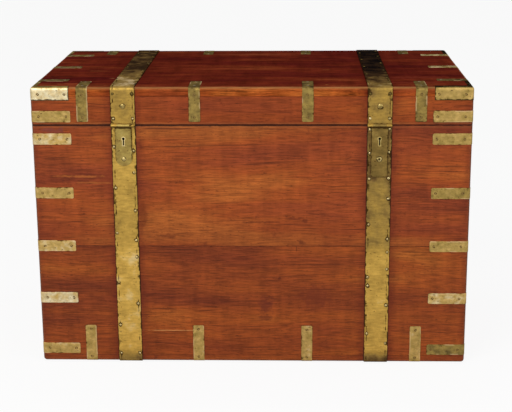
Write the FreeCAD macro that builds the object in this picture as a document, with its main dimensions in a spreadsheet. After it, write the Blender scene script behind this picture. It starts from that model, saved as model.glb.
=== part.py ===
import FreeCAD, Part
import os
import Sketcher
from FreeCAD import Rotation, Vector

# A brass-bound hardwood travelling chest with a hinged lid: a boarded box, a shallow framed lid,
# two pairs of brass straps that carry the hinges, hasps and locks, and clips at every corner.
# Millimetres.  X runs along the front, the front faces -Y, Z is up.  The origin is the middle of
# the footprint, on the underside of the strap feet.

# ---------------------------------------------------------------- driving sizes

SIZES = (
    ("chest_width", 914, "box over the boards, left to right"),
    ("chest_depth", 508, "box over the boards, front to back"),
    ("base_height", 524, "underside of the boards to the lid joint"),
    ("lid_height", 80, "lid joint to the top of the lid"),
    ("wall", 22, "front, back and end boards"),
    ("bottom_board", 15, "bottom planks"),
    ("lid_board", 20, "planks of the lid's top"),
    ("lower_plank", 262, "underside of the boards to the seam between lower and upper boards"),
    ("housing_depth", 10, "end boards let into the front and back boards"),
    ("joint_gap", 0.6, "between the boards of the lid and the base"),
    ("arris", 7, "rounding of the outer edges"),
    ("strap_width", 50, "brass strap"),
    ("strap_thickness", 1.6, "brass strap"),
    ("strap_offset", 265.5, "middle of the chest to the middle of a strap"),
    ("foot_length", 50, "strap turned under the chest"),
    ("strap_return", 41, "front lid strap turned over the top edge"),
    ("strap_butt", 0.4, "between the ends of two straps"),
    ("clip_width", 25, "brass clip"),
    ("clip_thickness", 1.4, "brass clip"),
    ("clip_proud", 0.4, "clip above the wood that it is let into"),
    ("corner_clip_leg", 82, "corner clip on the front or back"),
    ("corner_clip_side_leg", 66, "corner clip on an end"),
    ("corner_clip_count", 5, "corner clips in a row up one corner of the base"),
    ("corner_clip_inset", 29.5, "outer clips of the row to the joint and to the underside"),
    ("lid_clip_rise", 18, "middle of the lid's corner clip above the joint"),
    ("edge_clip_inner", 117, "middle of the chest to the inner edge clips"),
    ("edge_clip_outer", 350, "middle of the chest to the outer edge clips"),
    ("side_clip_offset", 172, "middle of an end to its outer edge clips"),
    ("lid_clip_drop", 73, "edge clip down the side of the lid"),
    ("lid_clip_reach", 68, "edge clip over the top of the lid"),
    ("base_clip_rise", 83, "edge clip up the side of the base"),
    ("base_clip_reach", 60, "edge clip under the base"),
    ("cap_leg", 80, "corner cap along the front or back"),
    ("cap_side_leg", 66, "corner cap along an end"),
    ("cap_height", 28, "corner cap down the side of the lid"),
    ("cap_turnover", 12, "corner cap over the top of the lid"),
    ("screw_head", 3.2, "radius of a countersunk screw head"),
    ("screw_sink", 2, "depth of the countersunk head"),
    ("screw_shank", 1.5, "radius of the screw"),
    ("screw_length", 12, "screw with its head"),
    ("screw_from_bend", 16, "first screw of a clip from the chest's corner"),
    ("low_screw_from_bend", 11, "first screw of a clip under the chest from the lower edge"),
    ("screw_from_end", 9, "last screw of a clip from the end of its leg"),
    ("nail_head", 2.4, "radius of a domed nail head"),
    ("nail_dome", 1, "height of the nail head"),
    ("nail_shank", 1.2, "radius of the nail"),
    ("nail_length", 12, "nail below its head"),
    ("nail_inset", 5, "nail to the edge of the strap"),
    ("boss_head", 5, "radius of the large rivet on the lid strap"),
    ("boss_dome", 1.8, "height of the large rivet"),
    ("boss_rise", 40, "large rivet above the joint"),
    ("hinge_barrel", 4, "radius of the lid hinge's knuckles"),
    ("hinge_pin", 2, "radius of the lid hinge's pin"),
    ("hinge_knuckles", 5, "knuckles of one lid hinge, base and lid in turn"),
    ("knuckle_gap", 0.3, "between neighbouring knuckles, and a barrel and the wood"),
    ("pin_fit", 0.05, "running clearance of a pin in its bore, on the radius"),
    ("pin_head", 1, "peened end of a pin beyond its barrel"),
    ("hasp_barrel", 3, "radius of the hasp hinge's knuckles"),
    ("hasp_pin", 1.5, "radius of the hasp hinge's pin"),
    ("hasp_knuckle", 26, "length of the hasp's own knuckle"),
    ("hasp_width", 35, "hasp plate"),
    ("hasp_thickness", 2.5, "hasp plate"),
    ("hasp_drop_right", 109, "lid joint to the end of the right hasp"),
    ("hasp_drop_left", 86, "lid joint to the end of the left hasp"),
    ("hasp_corner_right", 8, "rounded end corners of the right hasp"),
    ("hasp_corner_left", 17, "rounded end corners of the left hasp"),
    ("hasp_lift", 0.3, "hasp plate above the strap behind it"),
    ("keyhole_drop", 28, "lid joint to the round of the keyhole"),
    ("keyhole_radius", 2.75, "round of the keyhole"),
    ("keyhole_slot", 2.5, "width of the keyhole's slot"),
    ("keyhole_length", 14, "round of the keyhole to the end of its slot"),
    ("keyhole_rim", 1.9, "width of the raised rim round the keyhole"),
    ("keyhole_rim_height", 0.7, "raised rim above the hasp"),
    ("staple_drop", 71, "lid joint to the middle of the staple"),
    ("staple_width", 4, "staple blade along the chest"),
    ("staple_height", 14, "staple blade, upright"),
    ("staple_depth", 10, "staple blade into the wood"),
    ("staple_stem", 3, "radius of the staple's stem through the hasp"),
    ("staple_head_right", 6.5, "radius of the riveted head on the right hasp"),
    ("staple_head_left", 5, "radius of the riveted head on the left hasp"),
    ("staple_head_height", 1.8, "height of the riveted head"),
    ("staple_head_hole", 2.4, "radius of the hollow in the right head"),
    ("staple_clearance", 1, "round the staple in its channel"),
    ("bolt_height", 7, "nose of the bolt, upright"),
    ("bolt_thickness", 3.5, "nose of the bolt, front to back"),
    ("bolt_fit", 0.5, "round the bolt's nose in the staple's eye"),
    ("lock_width", 32, "lock case"),
    ("lock_top", 12, "lid joint to the top of the lock case"),
    ("lock_height", 80, "lock case"),
    ("lock_plate", 2, "walls of the lock case"),
    ("lock_flange", 9, "cap beyond the case at each end, for its screw"),
    ("handle_rise", 356, "underside of the boards to the axis of the side handles"),
    ("handle_plate_width", 134, "back plate of a side handle"),
    ("handle_plate_height", 46, "back plate of a side handle"),
    ("handle_plate_thickness", 2.5, "back plate of a side handle"),
    ("handle_plate_corner", 12, "rounded corners of the back plate"),
    ("post_spacing", 100, "between the middles of the two posts"),
    ("post_radius", 8, "post of a side handle"),
    ("post_length", 19, "post out from the end board"),
    ("handle_axis_out", 12.5, "end board to the axis of the handle"),
    ("bail_rod", 4.5, "radius of the handle's rod"),
    ("bail_pivot", 3.5, "radius of the handle's pivots"),
    ("bail_fit", 0.1, "running clearance of the pivots, on the radius"),
    ("bail_gap", 1.5, "handle arm to its post"),
    ("bail_drop", 55, "axis to the middle of the grip"),
    ("bail_bend", 16, "radius of the handle's bends"),
)

# Nails down the front straps, as distances below the lid joint, by strap and strap edge.
# They were driven by hand, so no two rows match.
FRONT_NAILS = {
    "left": {-1: (46, 134, 233, 343, 440, 505), 1: (54, 101, 184, 249, 286, 391, 505)},
    "right": {-1: (9, 59, 114, 213, 330, 349, 458), 1: (8, 57, 113, 157, 245, 274, 312, 393, 480)},
}
# Nails down the back straps, below the lid joint, and along the top straps, behind the front edge.
BACK_NAILS = {-1: (24, 150, 290, 430), 1: (24, 85, 220, 360, 490)}
TOP_NAILS = {-1: (52, 150, 250, 352, 452), 1: (52, 100, 200, 300, 400, 480)}
# Nails on the front of the lid strap, above the joint.
LID_NAILS = {-1: (14, 66), 1: (14, 66)}

doc = FreeCAD.newDocument("campaign_chest")

sheet = doc.addObject("Spreadsheet::Sheet", "Size")
for row, (name, size, meaning) in enumerate(SIZES, start=1):
    sheet.set(f"A{row}", meaning)
    sheet.set(f"B{row}", str(size))
    sheet.setAlias(f"B{row}", name)

# Planes and pitches that many pieces share, each worked out from the sheet.
PLACES = (
    ("side", "Size.chest_width / 2"),
    ("back", "Size.chest_depth / 2"),
    ("front", "-Size.chest_depth / 2"),
    ("underside", "Size.strap_thickness"),
    ("joint", "Size.strap_thickness + Size.base_height"),
    ("base_top", "Size.strap_thickness + Size.base_height - Size.joint_gap / 2"),
    ("lid_bottom", "Size.strap_thickness + Size.base_height + Size.joint_gap / 2"),
    ("top", "Size.strap_thickness + Size.base_height + Size.lid_height"),
    ("seam", "Size.strap_thickness + Size.lower_plank"),
    ("let_in", "Size.clip_thickness - Size.clip_proud"),
    ("hinge_y", "Size.chest_depth / 2 + Size.knuckle_gap + Size.hinge_barrel"),
    ("hasp_y", "-(Size.chest_depth / 2 + Size.knuckle_gap + Size.hasp_barrel)"),
    ("hasp_back", "-(Size.chest_depth / 2 + Size.strap_thickness + Size.hasp_lift)"),
    ("handle_z", "Size.strap_thickness + Size.handle_rise"),
    ("handle_x", "Size.chest_width / 2 + Size.handle_axis_out"),
    ("arm_y", "Size.post_spacing / 2 + Size.post_radius + Size.bail_gap + Size.bail_rod"),
)
shared = doc.addObject("App::VarSet", "At")
for name, formula in PLACES:
    shared.addProperty("App::PropertyFloat", name)
    shared.setExpression(name, formula)
doc.recompute()

PIECES = []


def value(formula):
    """The number that a formula gives with the present sizes."""
    return float(shared.evalExpression(formula))


def piece(name, solid):
    """Name a finished sub-part after its file."""
    solid.Label = name
    PIECES.append(solid)
    return solid


# ---------------------------------------------------------------- solids tied to the sheet


def block(name, x, y, z):
    """A box between two planes on each axis; each plane is a formula, in either order."""
    solid = doc.addObject("Part::Box", name)
    for axis, size, (one, other) in (("x", "Length", x), ("y", "Width", y), ("z", "Height", z)):
        solid.setExpression(f"Placement.Base.{axis}", f"min({one}; {other})")
        solid.setExpression(size, f"abs(({one}) - ({other}))")
    return solid


def aim(solid, direction, x, y, z):
    """Turn a solid's own Z axis to a direction and carry its origin to a point."""
    solid.Placement.Rotation = Rotation(Vector(0, 0, 1), Vector(*direction))
    for axis, formula in (("x", x), ("y", y), ("z", z)):
        solid.setExpression(f"Placement.Base.{axis}", formula)
    return solid


def rod(name, direction, x, y, z, radius, length):
    """A round bar that starts at a point and runs in a direction."""
    solid = doc.addObject("Part::Cylinder", name)
    solid.setExpression("Radius", radius)
    solid.setExpression("Height", length)
    return aim(solid, direction, x, y, z)


def join(name, solids):
    """Several solids made one."""
    solid = doc.addObject("Part::MultiFuse", name)
    solid.Shapes = solids
    return solid


def group(name, solids):
    """Several separate solids kept in one object."""
    solid = doc.addObject("Part::Compound", name)
    solid.Links = solids
    return solid


def cut(name, solid, tools):
    """A solid with each tool taken out of it in turn; the last result carries the name."""
    for number, tool in enumerate(tools, start=1):
        result = doc.addObject("Part::Cut", name if number == len(tools) else f"{name}_cut_{number}")
        result.Base = solid
        result.Tool = tool
        solid = result
    return solid


def overlap(name, solid, tool):
    """The part that two solids share."""
    result = doc.addObject("Part::Common", name)
    result.Base = solid
    result.Tool = tool
    return result


# ---------------------------------------------------------------- bodies drawn as sketches


def sketch_on(body, plane, offset):
    """A sketch on one of a body's own planes, moved along the plane's normal."""
    sketch = body.newObject("Sketcher::SketchObject", f"{body.Name}_outline")
    support = next(feature for feature in body.Origin.OriginFeatures if feature.Role == plane)
    sketch.AttachmentSupport = [(support, "")]
    sketch.MapMode = "FlatFace"
    sketch.setExpression("AttachmentOffset.Base.z", offset)
    return sketch


def outline(sketch, corners):
    """A closed outline of straight sides whose corners are tied to their formulas."""
    points = [Vector(value(x), value(y), 0) for x, y in corners]
    for start, end in zip(points, points[1:] + points[:1]):
        sketch.addGeometry(Part.LineSegment(start, end))
    for side in range(len(corners)):
        following = (side + 1) % len(corners)
        sketch.addConstraint(Sketcher.Constraint("Coincident", side, 2, following, 1))
    for side, corner in enumerate(corners):
        for kind, formula in zip(("DistanceX", "DistanceY"), corner):
            number = sketch.addConstraint(Sketcher.Constraint(kind, -1, 1, side, 1, value(formula)))
            sketch.setExpression(f"Constraints[{number}]", formula)


def plate(name, plane, offset, corners, thickness, rounded, radius):
    """A body padded from an outline, with the edges that rounded() picks rounded to a radius."""
    body = doc.addObject("PartDesign::Body", name)
    sketch = sketch_on(body, plane, offset)
    outline(sketch, corners)
    pad = body.newObject("PartDesign::Pad", f"{name}_pad")
    pad.Profile = sketch
    pad.setExpression("Length", thickness)
    doc.recompute()
    picked = [f"Edge{number}" for number, edge in enumerate(pad.Shape.Edges, start=1) if rounded(edge)]
    fillet = body.newObject("PartDesign::Fillet", f"{name}_fillet")
    fillet.Base = (pad, picked)
    fillet.setExpression("Radius", radius)
    body.Tip = fillet
    return body


def envelope(name, grow, low, high, rounded_end):
    """The chest's outer form between two levels, grown outwards, with one end and the four
    upright edges rounded by the same radius about the same centres."""
    half_x = f"At.side + ({grow})"
    half_y = f"At.back + ({grow})"
    corners = (
        (f"-({half_x})", f"-({half_y})"),
        (half_x, f"-({half_y})"),
        (half_x, half_y),
        (f"-({half_x})", half_y),
    )
    level = value(rounded_end)

    def is_outer(edge):
        ends = [vertex.Z for vertex in edge.Vertexes]
        return abs(ends[0] - ends[1]) > 1 or abs(ends[0] - level) < 1e-6

    height = f"({high}) - ({low})"
    return plate(name, "XY_Plane", low, corners, height, is_outer, f"Size.arris + ({grow})")


# The forms that the boards are shaped to, that the clips are let in to, and that the clips and
# the straps stand out to.
BASE_FORMS = {}
LID_FORMS = {}
for label, grow in (("wood", "0"), ("bed", "-At.let_in"), ("clip", "Size.clip_proud"),
                    ("strap", "Size.strap_thickness")):
    low = f"At.underside - ({grow})"
    BASE_FORMS[label] = envelope(f"base_{label}_form", grow, low, "At.base_top", low)
    high = f"At.top + ({grow})"
    LID_FORMS[label] = envelope(f"lid_{label}_form", grow, "At.lid_bottom", high, high)

base_clip_skin = cut("base_clip_skin", BASE_FORMS["clip"], [BASE_FORMS["bed"]])
lid_clip_skin = cut("lid_clip_skin", LID_FORMS["clip"], [LID_FORMS["bed"]])
base_strap_skin = cut("base_strap_skin", BASE_FORMS["strap"], [BASE_FORMS["wood"]])
lid_strap_skin = cut("lid_strap_skin", LID_FORMS["strap"], [LID_FORMS["wood"]])


# ---------------------------------------------------------------- screws and nails


def screw(name, direction, x, y, z):
    """A countersunk screw whose flat head lies at a point and which is driven in a direction."""
    head = doc.addObject("Part::Cone", f"{name}_head")
    head.setExpression("Radius1", "Size.screw_head")
    head.setExpression("Radius2", "Size.screw_shank")
    head.setExpression("Height", "Size.screw_sink")
    aim(head, direction, x, y, z)
    shank = rod(f"{name}_shank", direction, x, y, z, "Size.screw_shank", "Size.screw_length")
    return join(name, [head, shank])


def dome(name, direction, x, y, z, radius, height):
    """A low round head standing on a surface, against the direction that its nail is driven."""
    ball = f"(({radius})^2 + ({height})^2) / (2 * ({height}))"
    solid = doc.addObject("Part::Sphere", name)
    solid.setExpression("Radius", ball)
    solid.setExpression("Angle1", f"asin(1 - ({height}) / ({ball}))")
    solid.Angle2 = 90
    outward = [-part for part in direction]
    centre = [f"({place}) + ({part}) * (({ball}) - ({height}))"
              for place, part in zip((x, y, z), direction)]
    return aim(solid, outward, *centre)


def nail(name, direction, x, y, z):
    """A domed nail whose head stands on a surface."""
    head = dome(f"{name}_head", direction, x, y, z, "Size.nail_head", "Size.nail_dome")
    shank = rod(f"{name}_shank", direction, x, y, z, "Size.nail_shank", "Size.nail_length")
    return join(name, [head, shank])


# ---------------------------------------------------------------- corner and edge clips

SIGNS = (-1, 1)


def leg_screws(name, first, leg, inward):
    """The two screws of a clip's leg; inward(distance) gives direction and place."""
    return [screw(f"{name}_screw_a", *inward(first)),
            screw(f"{name}_screw_b", *inward(f"({leg}) - Size.screw_from_end"))]


def corner_clip(name, sign_x, sign_y, middle):
    """The space of one clip round an upright corner, and its four screws."""
    region = block(
        f"{name}_region",
        (f"{sign_x} * (At.side - Size.corner_clip_leg)", f"{sign_x} * (At.side + Size.clip_thickness)"),
        (f"{sign_y} * (At.back - Size.corner_clip_side_leg)", f"{sign_y} * (At.back + Size.clip_thickness)"),
        (f"({middle}) - Size.clip_width / 2", f"({middle}) + Size.clip_width / 2"),
    )

    def on_front(distance):
        x = f"{sign_x} * (At.side - ({distance}))"
        return (0, -sign_y, 0), x, f"{sign_y} * (At.back + Size.clip_proud)", middle

    def on_side(distance):
        y = f"{sign_y} * (At.back - ({distance}))"
        return (-sign_x, 0, 0), f"{sign_x} * (At.side + Size.clip_proud)", y, middle

    screws = leg_screws(f"{name}_front", "Size.screw_from_bend", "Size.corner_clip_leg", on_front)
    screws += leg_screws(f"{name}_side", "Size.screw_from_bend", "Size.corner_clip_side_leg", on_side)
    return region, screws


def edge_clip(name, side, sign, along, upright, flat, edge, outward, first):
    """The space of one clip over a level edge, and its four screws.  The side is "x" or "y",
    the clip lies at along on the other axis, edge is the level of the flat leg's surface,
    outward is +1 for the lid's top and -1 for the underside, and first is the distance of the
    first screws from the edge."""
    face = "At.side" if side == "x" else "At.back"
    across = (f"{along} - Size.clip_width / 2", f"{along} + Size.clip_width / 2")
    depth = (f"{sign} * ({face} - ({flat}))", f"{sign} * ({face} + Size.clip_thickness)")
    height = (f"({edge}) - {outward} * ({upright})", f"({edge}) + {outward} * Size.clip_thickness")
    spans = (depth, across, height) if side == "x" else (across, depth, height)
    region = block(f"{name}_region", *spans)

    def on_face(distance):
        out = f"{sign} * ({face} + Size.clip_proud)"
        level = f"({edge}) - {outward} * ({distance})"
        if side == "x":
            return (-sign, 0, 0), out, along, level
        return (0, -sign, 0), along, out, level

    def on_flat(distance):
        level = f"({edge}) + {outward} * Size.clip_proud"
        inner = f"{sign} * ({face} - ({distance}))"
        if side == "x":
            return (0, 0, -outward), inner, along, level
        return (0, 0, -outward), along, inner, level

    screws = leg_screws(f"{name}_upright", first, upright, on_face)
    screws += leg_screws(f"{name}_flat", first, flat, on_flat)
    return region, screws


def edge_clips(name, upright, flat, edge, outward, first):
    """The clips over all four level edges of the base or the lid."""
    regions = []
    screws = []
    for sign in SIGNS:
        for number, place in enumerate(("Size.edge_clip_inner", "Size.edge_clip_outer")):
            for hand in SIGNS:
                clip = edge_clip(f"{name}_y{sign}_{number}_{hand}".replace("-", "m"), "y", sign,
                                 f"{hand} * {place}", upright, flat, edge, outward, first)
                regions.append(clip[0])
                screws += clip[1]
        for step in (-1, 0, 1):
            clip = edge_clip(f"{name}_x{sign}_{step}".replace("-", "m"), "x", sign,
                             f"{step} * Size.side_clip_offset", upright, flat, edge, outward, first)
            regions.append(clip[0])
            screws += clip[1]
    return regions, screws


def clips(name, skin, regions, screws):
    """A node of clips: the skin where the regions lie, with countersunk holes.  Gives the
    clips before their holes, which are what the wood is recessed for."""
    blanks = overlap(f"{name}_blanks", skin, group(f"{name}_regions", regions))
    piece(name, cut(name, blanks, [group(f"{name}_holes", screws)]))
    return blanks


corner_regions = []
corner_screws = []
lid_regions = []
lid_corner_screws = []
cap_regions = []
cap_screws = []
pitch = "(Size.base_height - 2 * Size.corner_clip_inset) / (Size.corner_clip_count - 1)"
for sign_x in SIGNS:
    for sign_y in SIGNS:
        corner = f"{'left' if sign_x < 0 else 'right'}_{'front' if sign_y < 0 else 'back'}"
        for number in range(int(value("Size.corner_clip_count"))):
            middle = f"At.underside + Size.corner_clip_inset + {number} * {pitch}"
            region, screws = corner_clip(f"base_{corner}_{number}", sign_x, sign_y, middle)
            corner_regions.append(region)
            corner_screws += screws
        region, screws = corner_clip(f"lid_{corner}", sign_x, sign_y, "At.joint + Size.lid_clip_rise")
        lid_regions.append(region)
        lid_corner_screws += screws

        # A three-faced cap: a strip along each face of the corner, both turned over the top.
        out_x = f"{sign_x} * (At.side + Size.clip_thickness)"
        out_y = f"{sign_y} * (At.back + Size.clip_thickness)"
        level = ("At.top - Size.cap_height", "At.top + Size.clip_thickness")
        strips = [
            block(f"cap_{corner}_long", (f"{sign_x} * (At.side - Size.cap_leg)", out_x),
                  (f"{sign_y} * (At.back - Size.cap_turnover)", out_y), level),
            block(f"cap_{corner}_short", (f"{sign_x} * (At.side - Size.cap_turnover)", out_x),
                  (f"{sign_y} * (At.back - Size.cap_side_leg)", out_y), level),
        ]
        cap_regions.append(join(f"cap_{corner}_region", strips))
        middle = "At.top - Size.cap_height * 0.55"
        for number, distance in enumerate(("Size.screw_from_bend", "Size.cap_leg - Size.screw_from_end")):
            cap_screws.append(screw(f"cap_{corner}_front_{number}", (0, -sign_y, 0),
                                    f"{sign_x} * (At.side - ({distance}))",
                                    f"{sign_y} * (At.back + Size.clip_proud)", middle))
        for number, distance in enumerate(("Size.screw_from_bend", "Size.cap_side_leg - Size.screw_from_end")):
            cap_screws.append(screw(f"cap_{corner}_side_{number}", (-sign_x, 0, 0),
                                    f"{sign_x} * (At.side + Size.clip_proud)",
                                    f"{sign_y} * (At.back - ({distance}))", middle))

base_edge_regions, base_edge_screws = edge_clips(
    "base_edge", "Size.base_clip_rise", "Size.base_clip_reach", "At.underside", -1,
    "Size.low_screw_from_bend")
lid_edge_regions, lid_edge_screws = edge_clips(
    "lid_edge", "Size.lid_clip_drop", "Size.lid_clip_reach", "At.top", 1, "Size.screw_from_bend")

base_recesses = [
    clips("base_corner_clips", base_clip_skin, corner_regions, corner_screws),
    clips("base_bottom_clips", base_clip_skin, base_edge_regions, base_edge_screws),
]
lid_recesses = [
    clips("lid_corner_clips", lid_clip_skin, lid_regions, lid_corner_screws),
    clips("lid_corner_caps", lid_clip_skin, cap_regions, cap_screws),
    clips("lid_edge_clips", lid_clip_skin, lid_edge_regions, lid_edge_screws),
]
base_screws = corner_screws + base_edge_screws
lid_screws = lid_corner_screws + cap_screws + lid_edge_screws
piece("base_clip_screws", group("base_clip_screws", base_screws))
piece("lid_clip_screws", group("lid_clip_screws", lid_screws))


# ---------------------------------------------------------------- lid hinges, hasps and locks

base_nails = []
lid_nails = []
lock_screws = []
base_board_cuts = []
for side, hand in (("left", -1), ("right", 1)):
    middle = f"{hand} * Size.strap_offset"
    width = (f"{middle} - Size.strap_width / 2", f"{middle} + Size.strap_width / 2")

    def nails(name, direction, rows, place):
        """Nails along both edges of this strap; place(distance) gives the other two axes."""
        made = []
        for edge, distances in rows.items():
            x = f"{middle} + {edge} * (Size.strap_width / 2 - Size.nail_inset)"
            for number, distance in enumerate(distances):
                tag = f"{side}_{name}_{'a' if edge < 0 else 'b'}{number}"
                made.append(nail(tag, direction, x, *place(distance)))
        return made

    def within(rows, length):
        """Only the nails that a strap of this length has room for."""
        room = value(length) - value("Size.nail_inset")
        return {edge: [spot for spot in spots if spot < room] for edge, spots in rows.items()}

    upright = "Size.base_height - Size.arris - Size.strap_thickness"
    base_nails += nails("front_nail", (0, 1, 0), within(FRONT_NAILS[side], upright),
                        lambda drop: ("At.front - Size.strap_thickness", f"At.joint - {drop}"))
    base_nails += nails("back_nail", (0, -1, 0), within(BACK_NAILS, upright),
                        lambda drop: ("At.back + Size.strap_thickness", f"At.joint - {drop}"))
    lid_nails += nails("top_nail", (0, 0, -1), within(TOP_NAILS, "Size.chest_depth - Size.arris"),
                       lambda reach: (f"At.front + {reach}", "At.top + Size.strap_thickness"))
    lid_nails += nails("lid_nail", (0, 1, 0), within(LID_NAILS, "Size.lid_height - Size.arris"),
                       lambda rise: ("At.front - Size.strap_thickness", f"At.joint + {rise}"))
    lid_nails += nails("rear_nail", (0, -1, 0), within(LID_NAILS, "Size.lid_height - Size.arris"),
                       lambda rise: ("At.back + Size.strap_thickness", f"At.joint + {rise}"))

    # Large rivet in the middle of the front lid strap.
    boss_place = (middle, "At.front - Size.strap_thickness", "At.joint + Size.boss_rise")
    boss = join(f"{side}_boss", [
        dome(f"{side}_boss_head", (0, 1, 0), *boss_place, "Size.boss_head", "Size.boss_dome"),
        rod(f"{side}_boss_shank", (0, 1, 0), *boss_place, "Size.screw_shank", "Size.screw_length"),
    ])
    lid_nails.append(boss)

    # Lid hinge.  The base strap has the odd knuckles and the lid strap the even ones, with one
    # pin through them all; the plates stop clear of the other strap's knuckles.
    count = int(value("Size.hinge_knuckles"))
    knuckle = "((Size.strap_width - (Size.hinge_knuckles - 1) * Size.knuckle_gap) / Size.hinge_knuckles)"
    clear = "(Size.hinge_barrel + Size.knuckle_gap)"
    base_knuckles = []
    lid_knuckles = []
    for number in range(count):
        start = f"({width[0]} + {number} * ({knuckle} + Size.knuckle_gap))"
        span = (start, f"{start} + {knuckle}")
        below = number % 2 == 0
        barrel = rod(f"{side}_knuckle_{number}", (1, 0, 0), start, "At.hinge_y", "At.joint",
                     "Size.hinge_barrel", knuckle)
        end = f"At.joint - {clear}" if below else f"At.joint + {clear}"
        tongue = block(f"{side}_tongue_{number}", span, ("At.back", "At.back + Size.strap_thickness"),
                       ("At.joint", end))
        (base_knuckles if below else lid_knuckles).extend([barrel, tongue])
    hinge_bore = rod(f"{side}_hinge_bore", (1, 0, 0), f"{width[0]} - Size.pin_head", "At.hinge_y",
                     "At.joint", "Size.hinge_pin + Size.pin_fit",
                     "Size.strap_width + 2 * Size.pin_head")
    hinge_pin = rod(f"{side}_hinge_shaft", (1, 0, 0), f"{width[0]} - Size.pin_head", "At.hinge_y",
                    "At.joint", "Size.hinge_pin", "Size.strap_width + 2 * Size.pin_head")
    pin_heads = [
        rod(f"{side}_pin_head_{number}", (1, 0, 0), start, "At.hinge_y", "At.joint",
            "Size.hinge_barrel - Size.pin_head", "Size.pin_head - Size.knuckle_gap")
        for number, start in enumerate((f"{width[0]} - Size.pin_head",
                                        f"{width[1]} + Size.knuckle_gap"))
    ]
    piece(f"{side}_hinge_pin", join(f"{side}_hinge_pin", [hinge_pin] + pin_heads))

    back_region = block(f"{side}_base_back_region", width,
                        ("At.back - Size.foot_length", "At.back + 2 * Size.strap_thickness"),
                        ("0", f"At.joint - {clear}"))
    back_strip = overlap(f"{side}_base_back_strip", base_strap_skin, back_region)
    back_leaf = join(f"{side}_base_back_leaf", [back_strip] + base_knuckles)
    top_region = block(f"{side}_lid_top_region", width,
                       ("At.front + Size.strap_return + Size.strap_butt",
                        "At.back + 2 * Size.strap_thickness"),
                       (f"At.joint + {clear}", "At.top + 2 * Size.strap_thickness"))
    top_strip = overlap(f"{side}_lid_top_strip", lid_strap_skin, top_region)
    top_leaf = join(f"{side}_lid_top_leaf", [top_strip] + lid_knuckles)

    # Hasp hinge.  The lid's front strap has a knuckle at each edge, the hasp the one between.
    hasp_clear = "(Size.hasp_barrel + Size.knuckle_gap)"
    half_knuckle = "(Size.hasp_knuckle / 2)"
    lid_pieces = []
    for edge in SIGNS:
        inner = f"{middle} + {edge} * ({half_knuckle} + Size.knuckle_gap)"
        outer = f"{middle} + {edge} * Size.strap_width / 2"
        start = outer if edge < 0 else inner
        tag = "a" if edge < 0 else "b"
        lid_pieces.append(rod(f"{side}_hasp_ear_{tag}", (1, 0, 0), start, "At.hasp_y", "At.joint",
                              "Size.hasp_barrel",
                              f"Size.strap_width / 2 - {half_knuckle} - Size.knuckle_gap"))
        lid_pieces.append(block(f"{side}_hasp_ear_tongue_{tag}", (inner, outer),
                                ("At.front - Size.strap_thickness", "At.front"),
                                ("At.joint", f"At.joint + {hasp_clear}")))
    front_region = block(f"{side}_lid_front_region", width,
                         ("At.front - 2 * Size.strap_thickness", "At.front + Size.strap_return"),
                         (f"At.joint + {hasp_clear}", "At.top + 2 * Size.strap_thickness"))
    front_strip = overlap(f"{side}_lid_front_strip", lid_strap_skin, front_region)
    front_leaf = join(f"{side}_lid_front_leaf", [front_strip] + lid_pieces)
    hasp_bore = rod(f"{side}_hasp_bore", (1, 0, 0), width[0], "At.hasp_y", "At.joint",
                    "Size.hasp_pin + Size.pin_fit", "Size.strap_width")
    piece(f"{side}_hasp_pin", rod(f"{side}_hasp_pin", (1, 0, 0), width[0], "At.hasp_y", "At.joint",
                                  "Size.hasp_pin", "Size.strap_width"))

    # Hasp plate with a raised rim round its keyhole.
    hasp_end = f"At.joint - Size.hasp_drop_{side}"
    hasp_top = f"At.joint - {hasp_clear}"
    hasp_x = (f"{middle} - Size.hasp_width / 2", f"{middle} + Size.hasp_width / 2")
    end_level = value(hasp_end)

    def is_end_corner(edge):
        """An edge through the plate's thickness at its lower end."""
        return all(abs(vertex.Z - end_level) < 1e-6 for vertex in edge.Vertexes) and (
            abs(edge.Vertexes[0].Y - edge.Vertexes[1].Y) > 1e-6)

    hasp_plate = plate(f"{side}_hasp_plate", "XZ_Plane", "-At.hasp_back",
                       ((hasp_x[0], hasp_end), (hasp_x[1], hasp_end), (hasp_x[1], hasp_top),
                        (hasp_x[0], hasp_top)),
                       "Size.hasp_thickness", is_end_corner, f"Size.hasp_corner_{side}")
    half_slot = "Size.keyhole_slot / 2"
    key_level = "At.joint - Size.keyhole_drop"
    hasp_front = "(At.hasp_back - Size.hasp_thickness)"
    rim_front = f"{hasp_front} - Size.keyhole_rim_height"
    rim = join(f"{side}_keyhole_rim", [
        rod(f"{side}_rim_round", (0, 1, 0), middle, rim_front, key_level,
            "Size.keyhole_radius + Size.keyhole_rim",
            "Size.keyhole_rim_height + Size.hasp_thickness / 2"),
        block(f"{side}_rim_slot",
              (f"{middle} - {half_slot} - Size.keyhole_rim", f"{middle} + {half_slot} + Size.keyhole_rim"),
              (rim_front, f"{rim_front} + Size.keyhole_rim_height + Size.hasp_thickness / 2"),
              (key_level, f"{key_level} - Size.keyhole_length - Size.keyhole_rim")),
    ])
    keyhole = join(f"{side}_keyhole", [
        rod(f"{side}_keyhole_round", (0, 1, 0), middle, rim_front, key_level, "Size.keyhole_radius",
            "Size.keyhole_rim_height + Size.hasp_thickness"),
        block(f"{side}_keyhole_slot", (f"{middle} - {half_slot}", f"{middle} + {half_slot}"),
              (rim_front, "At.hasp_back"), (key_level, f"{key_level} - Size.keyhole_length")),
    ])
    hasp_barrel = rod(f"{side}_hasp_barrel", (1, 0, 0), f"{middle} - {half_knuckle}", "At.hasp_y",
                      "At.joint", "Size.hasp_barrel", "Size.hasp_knuckle")
    hasp_neck = block(f"{side}_hasp_neck", (f"{middle} - {half_knuckle}", f"{middle} + {half_knuckle}"),
                      ("At.hasp_back", hasp_front), (hasp_top, "At.joint"))
    stem_level = "At.joint - Size.staple_drop"
    stem_bore = rod(f"{side}_stem_bore", (0, 1, 0), middle, hasp_front, stem_level,
                    "Size.staple_stem", "Size.hasp_thickness")
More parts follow.
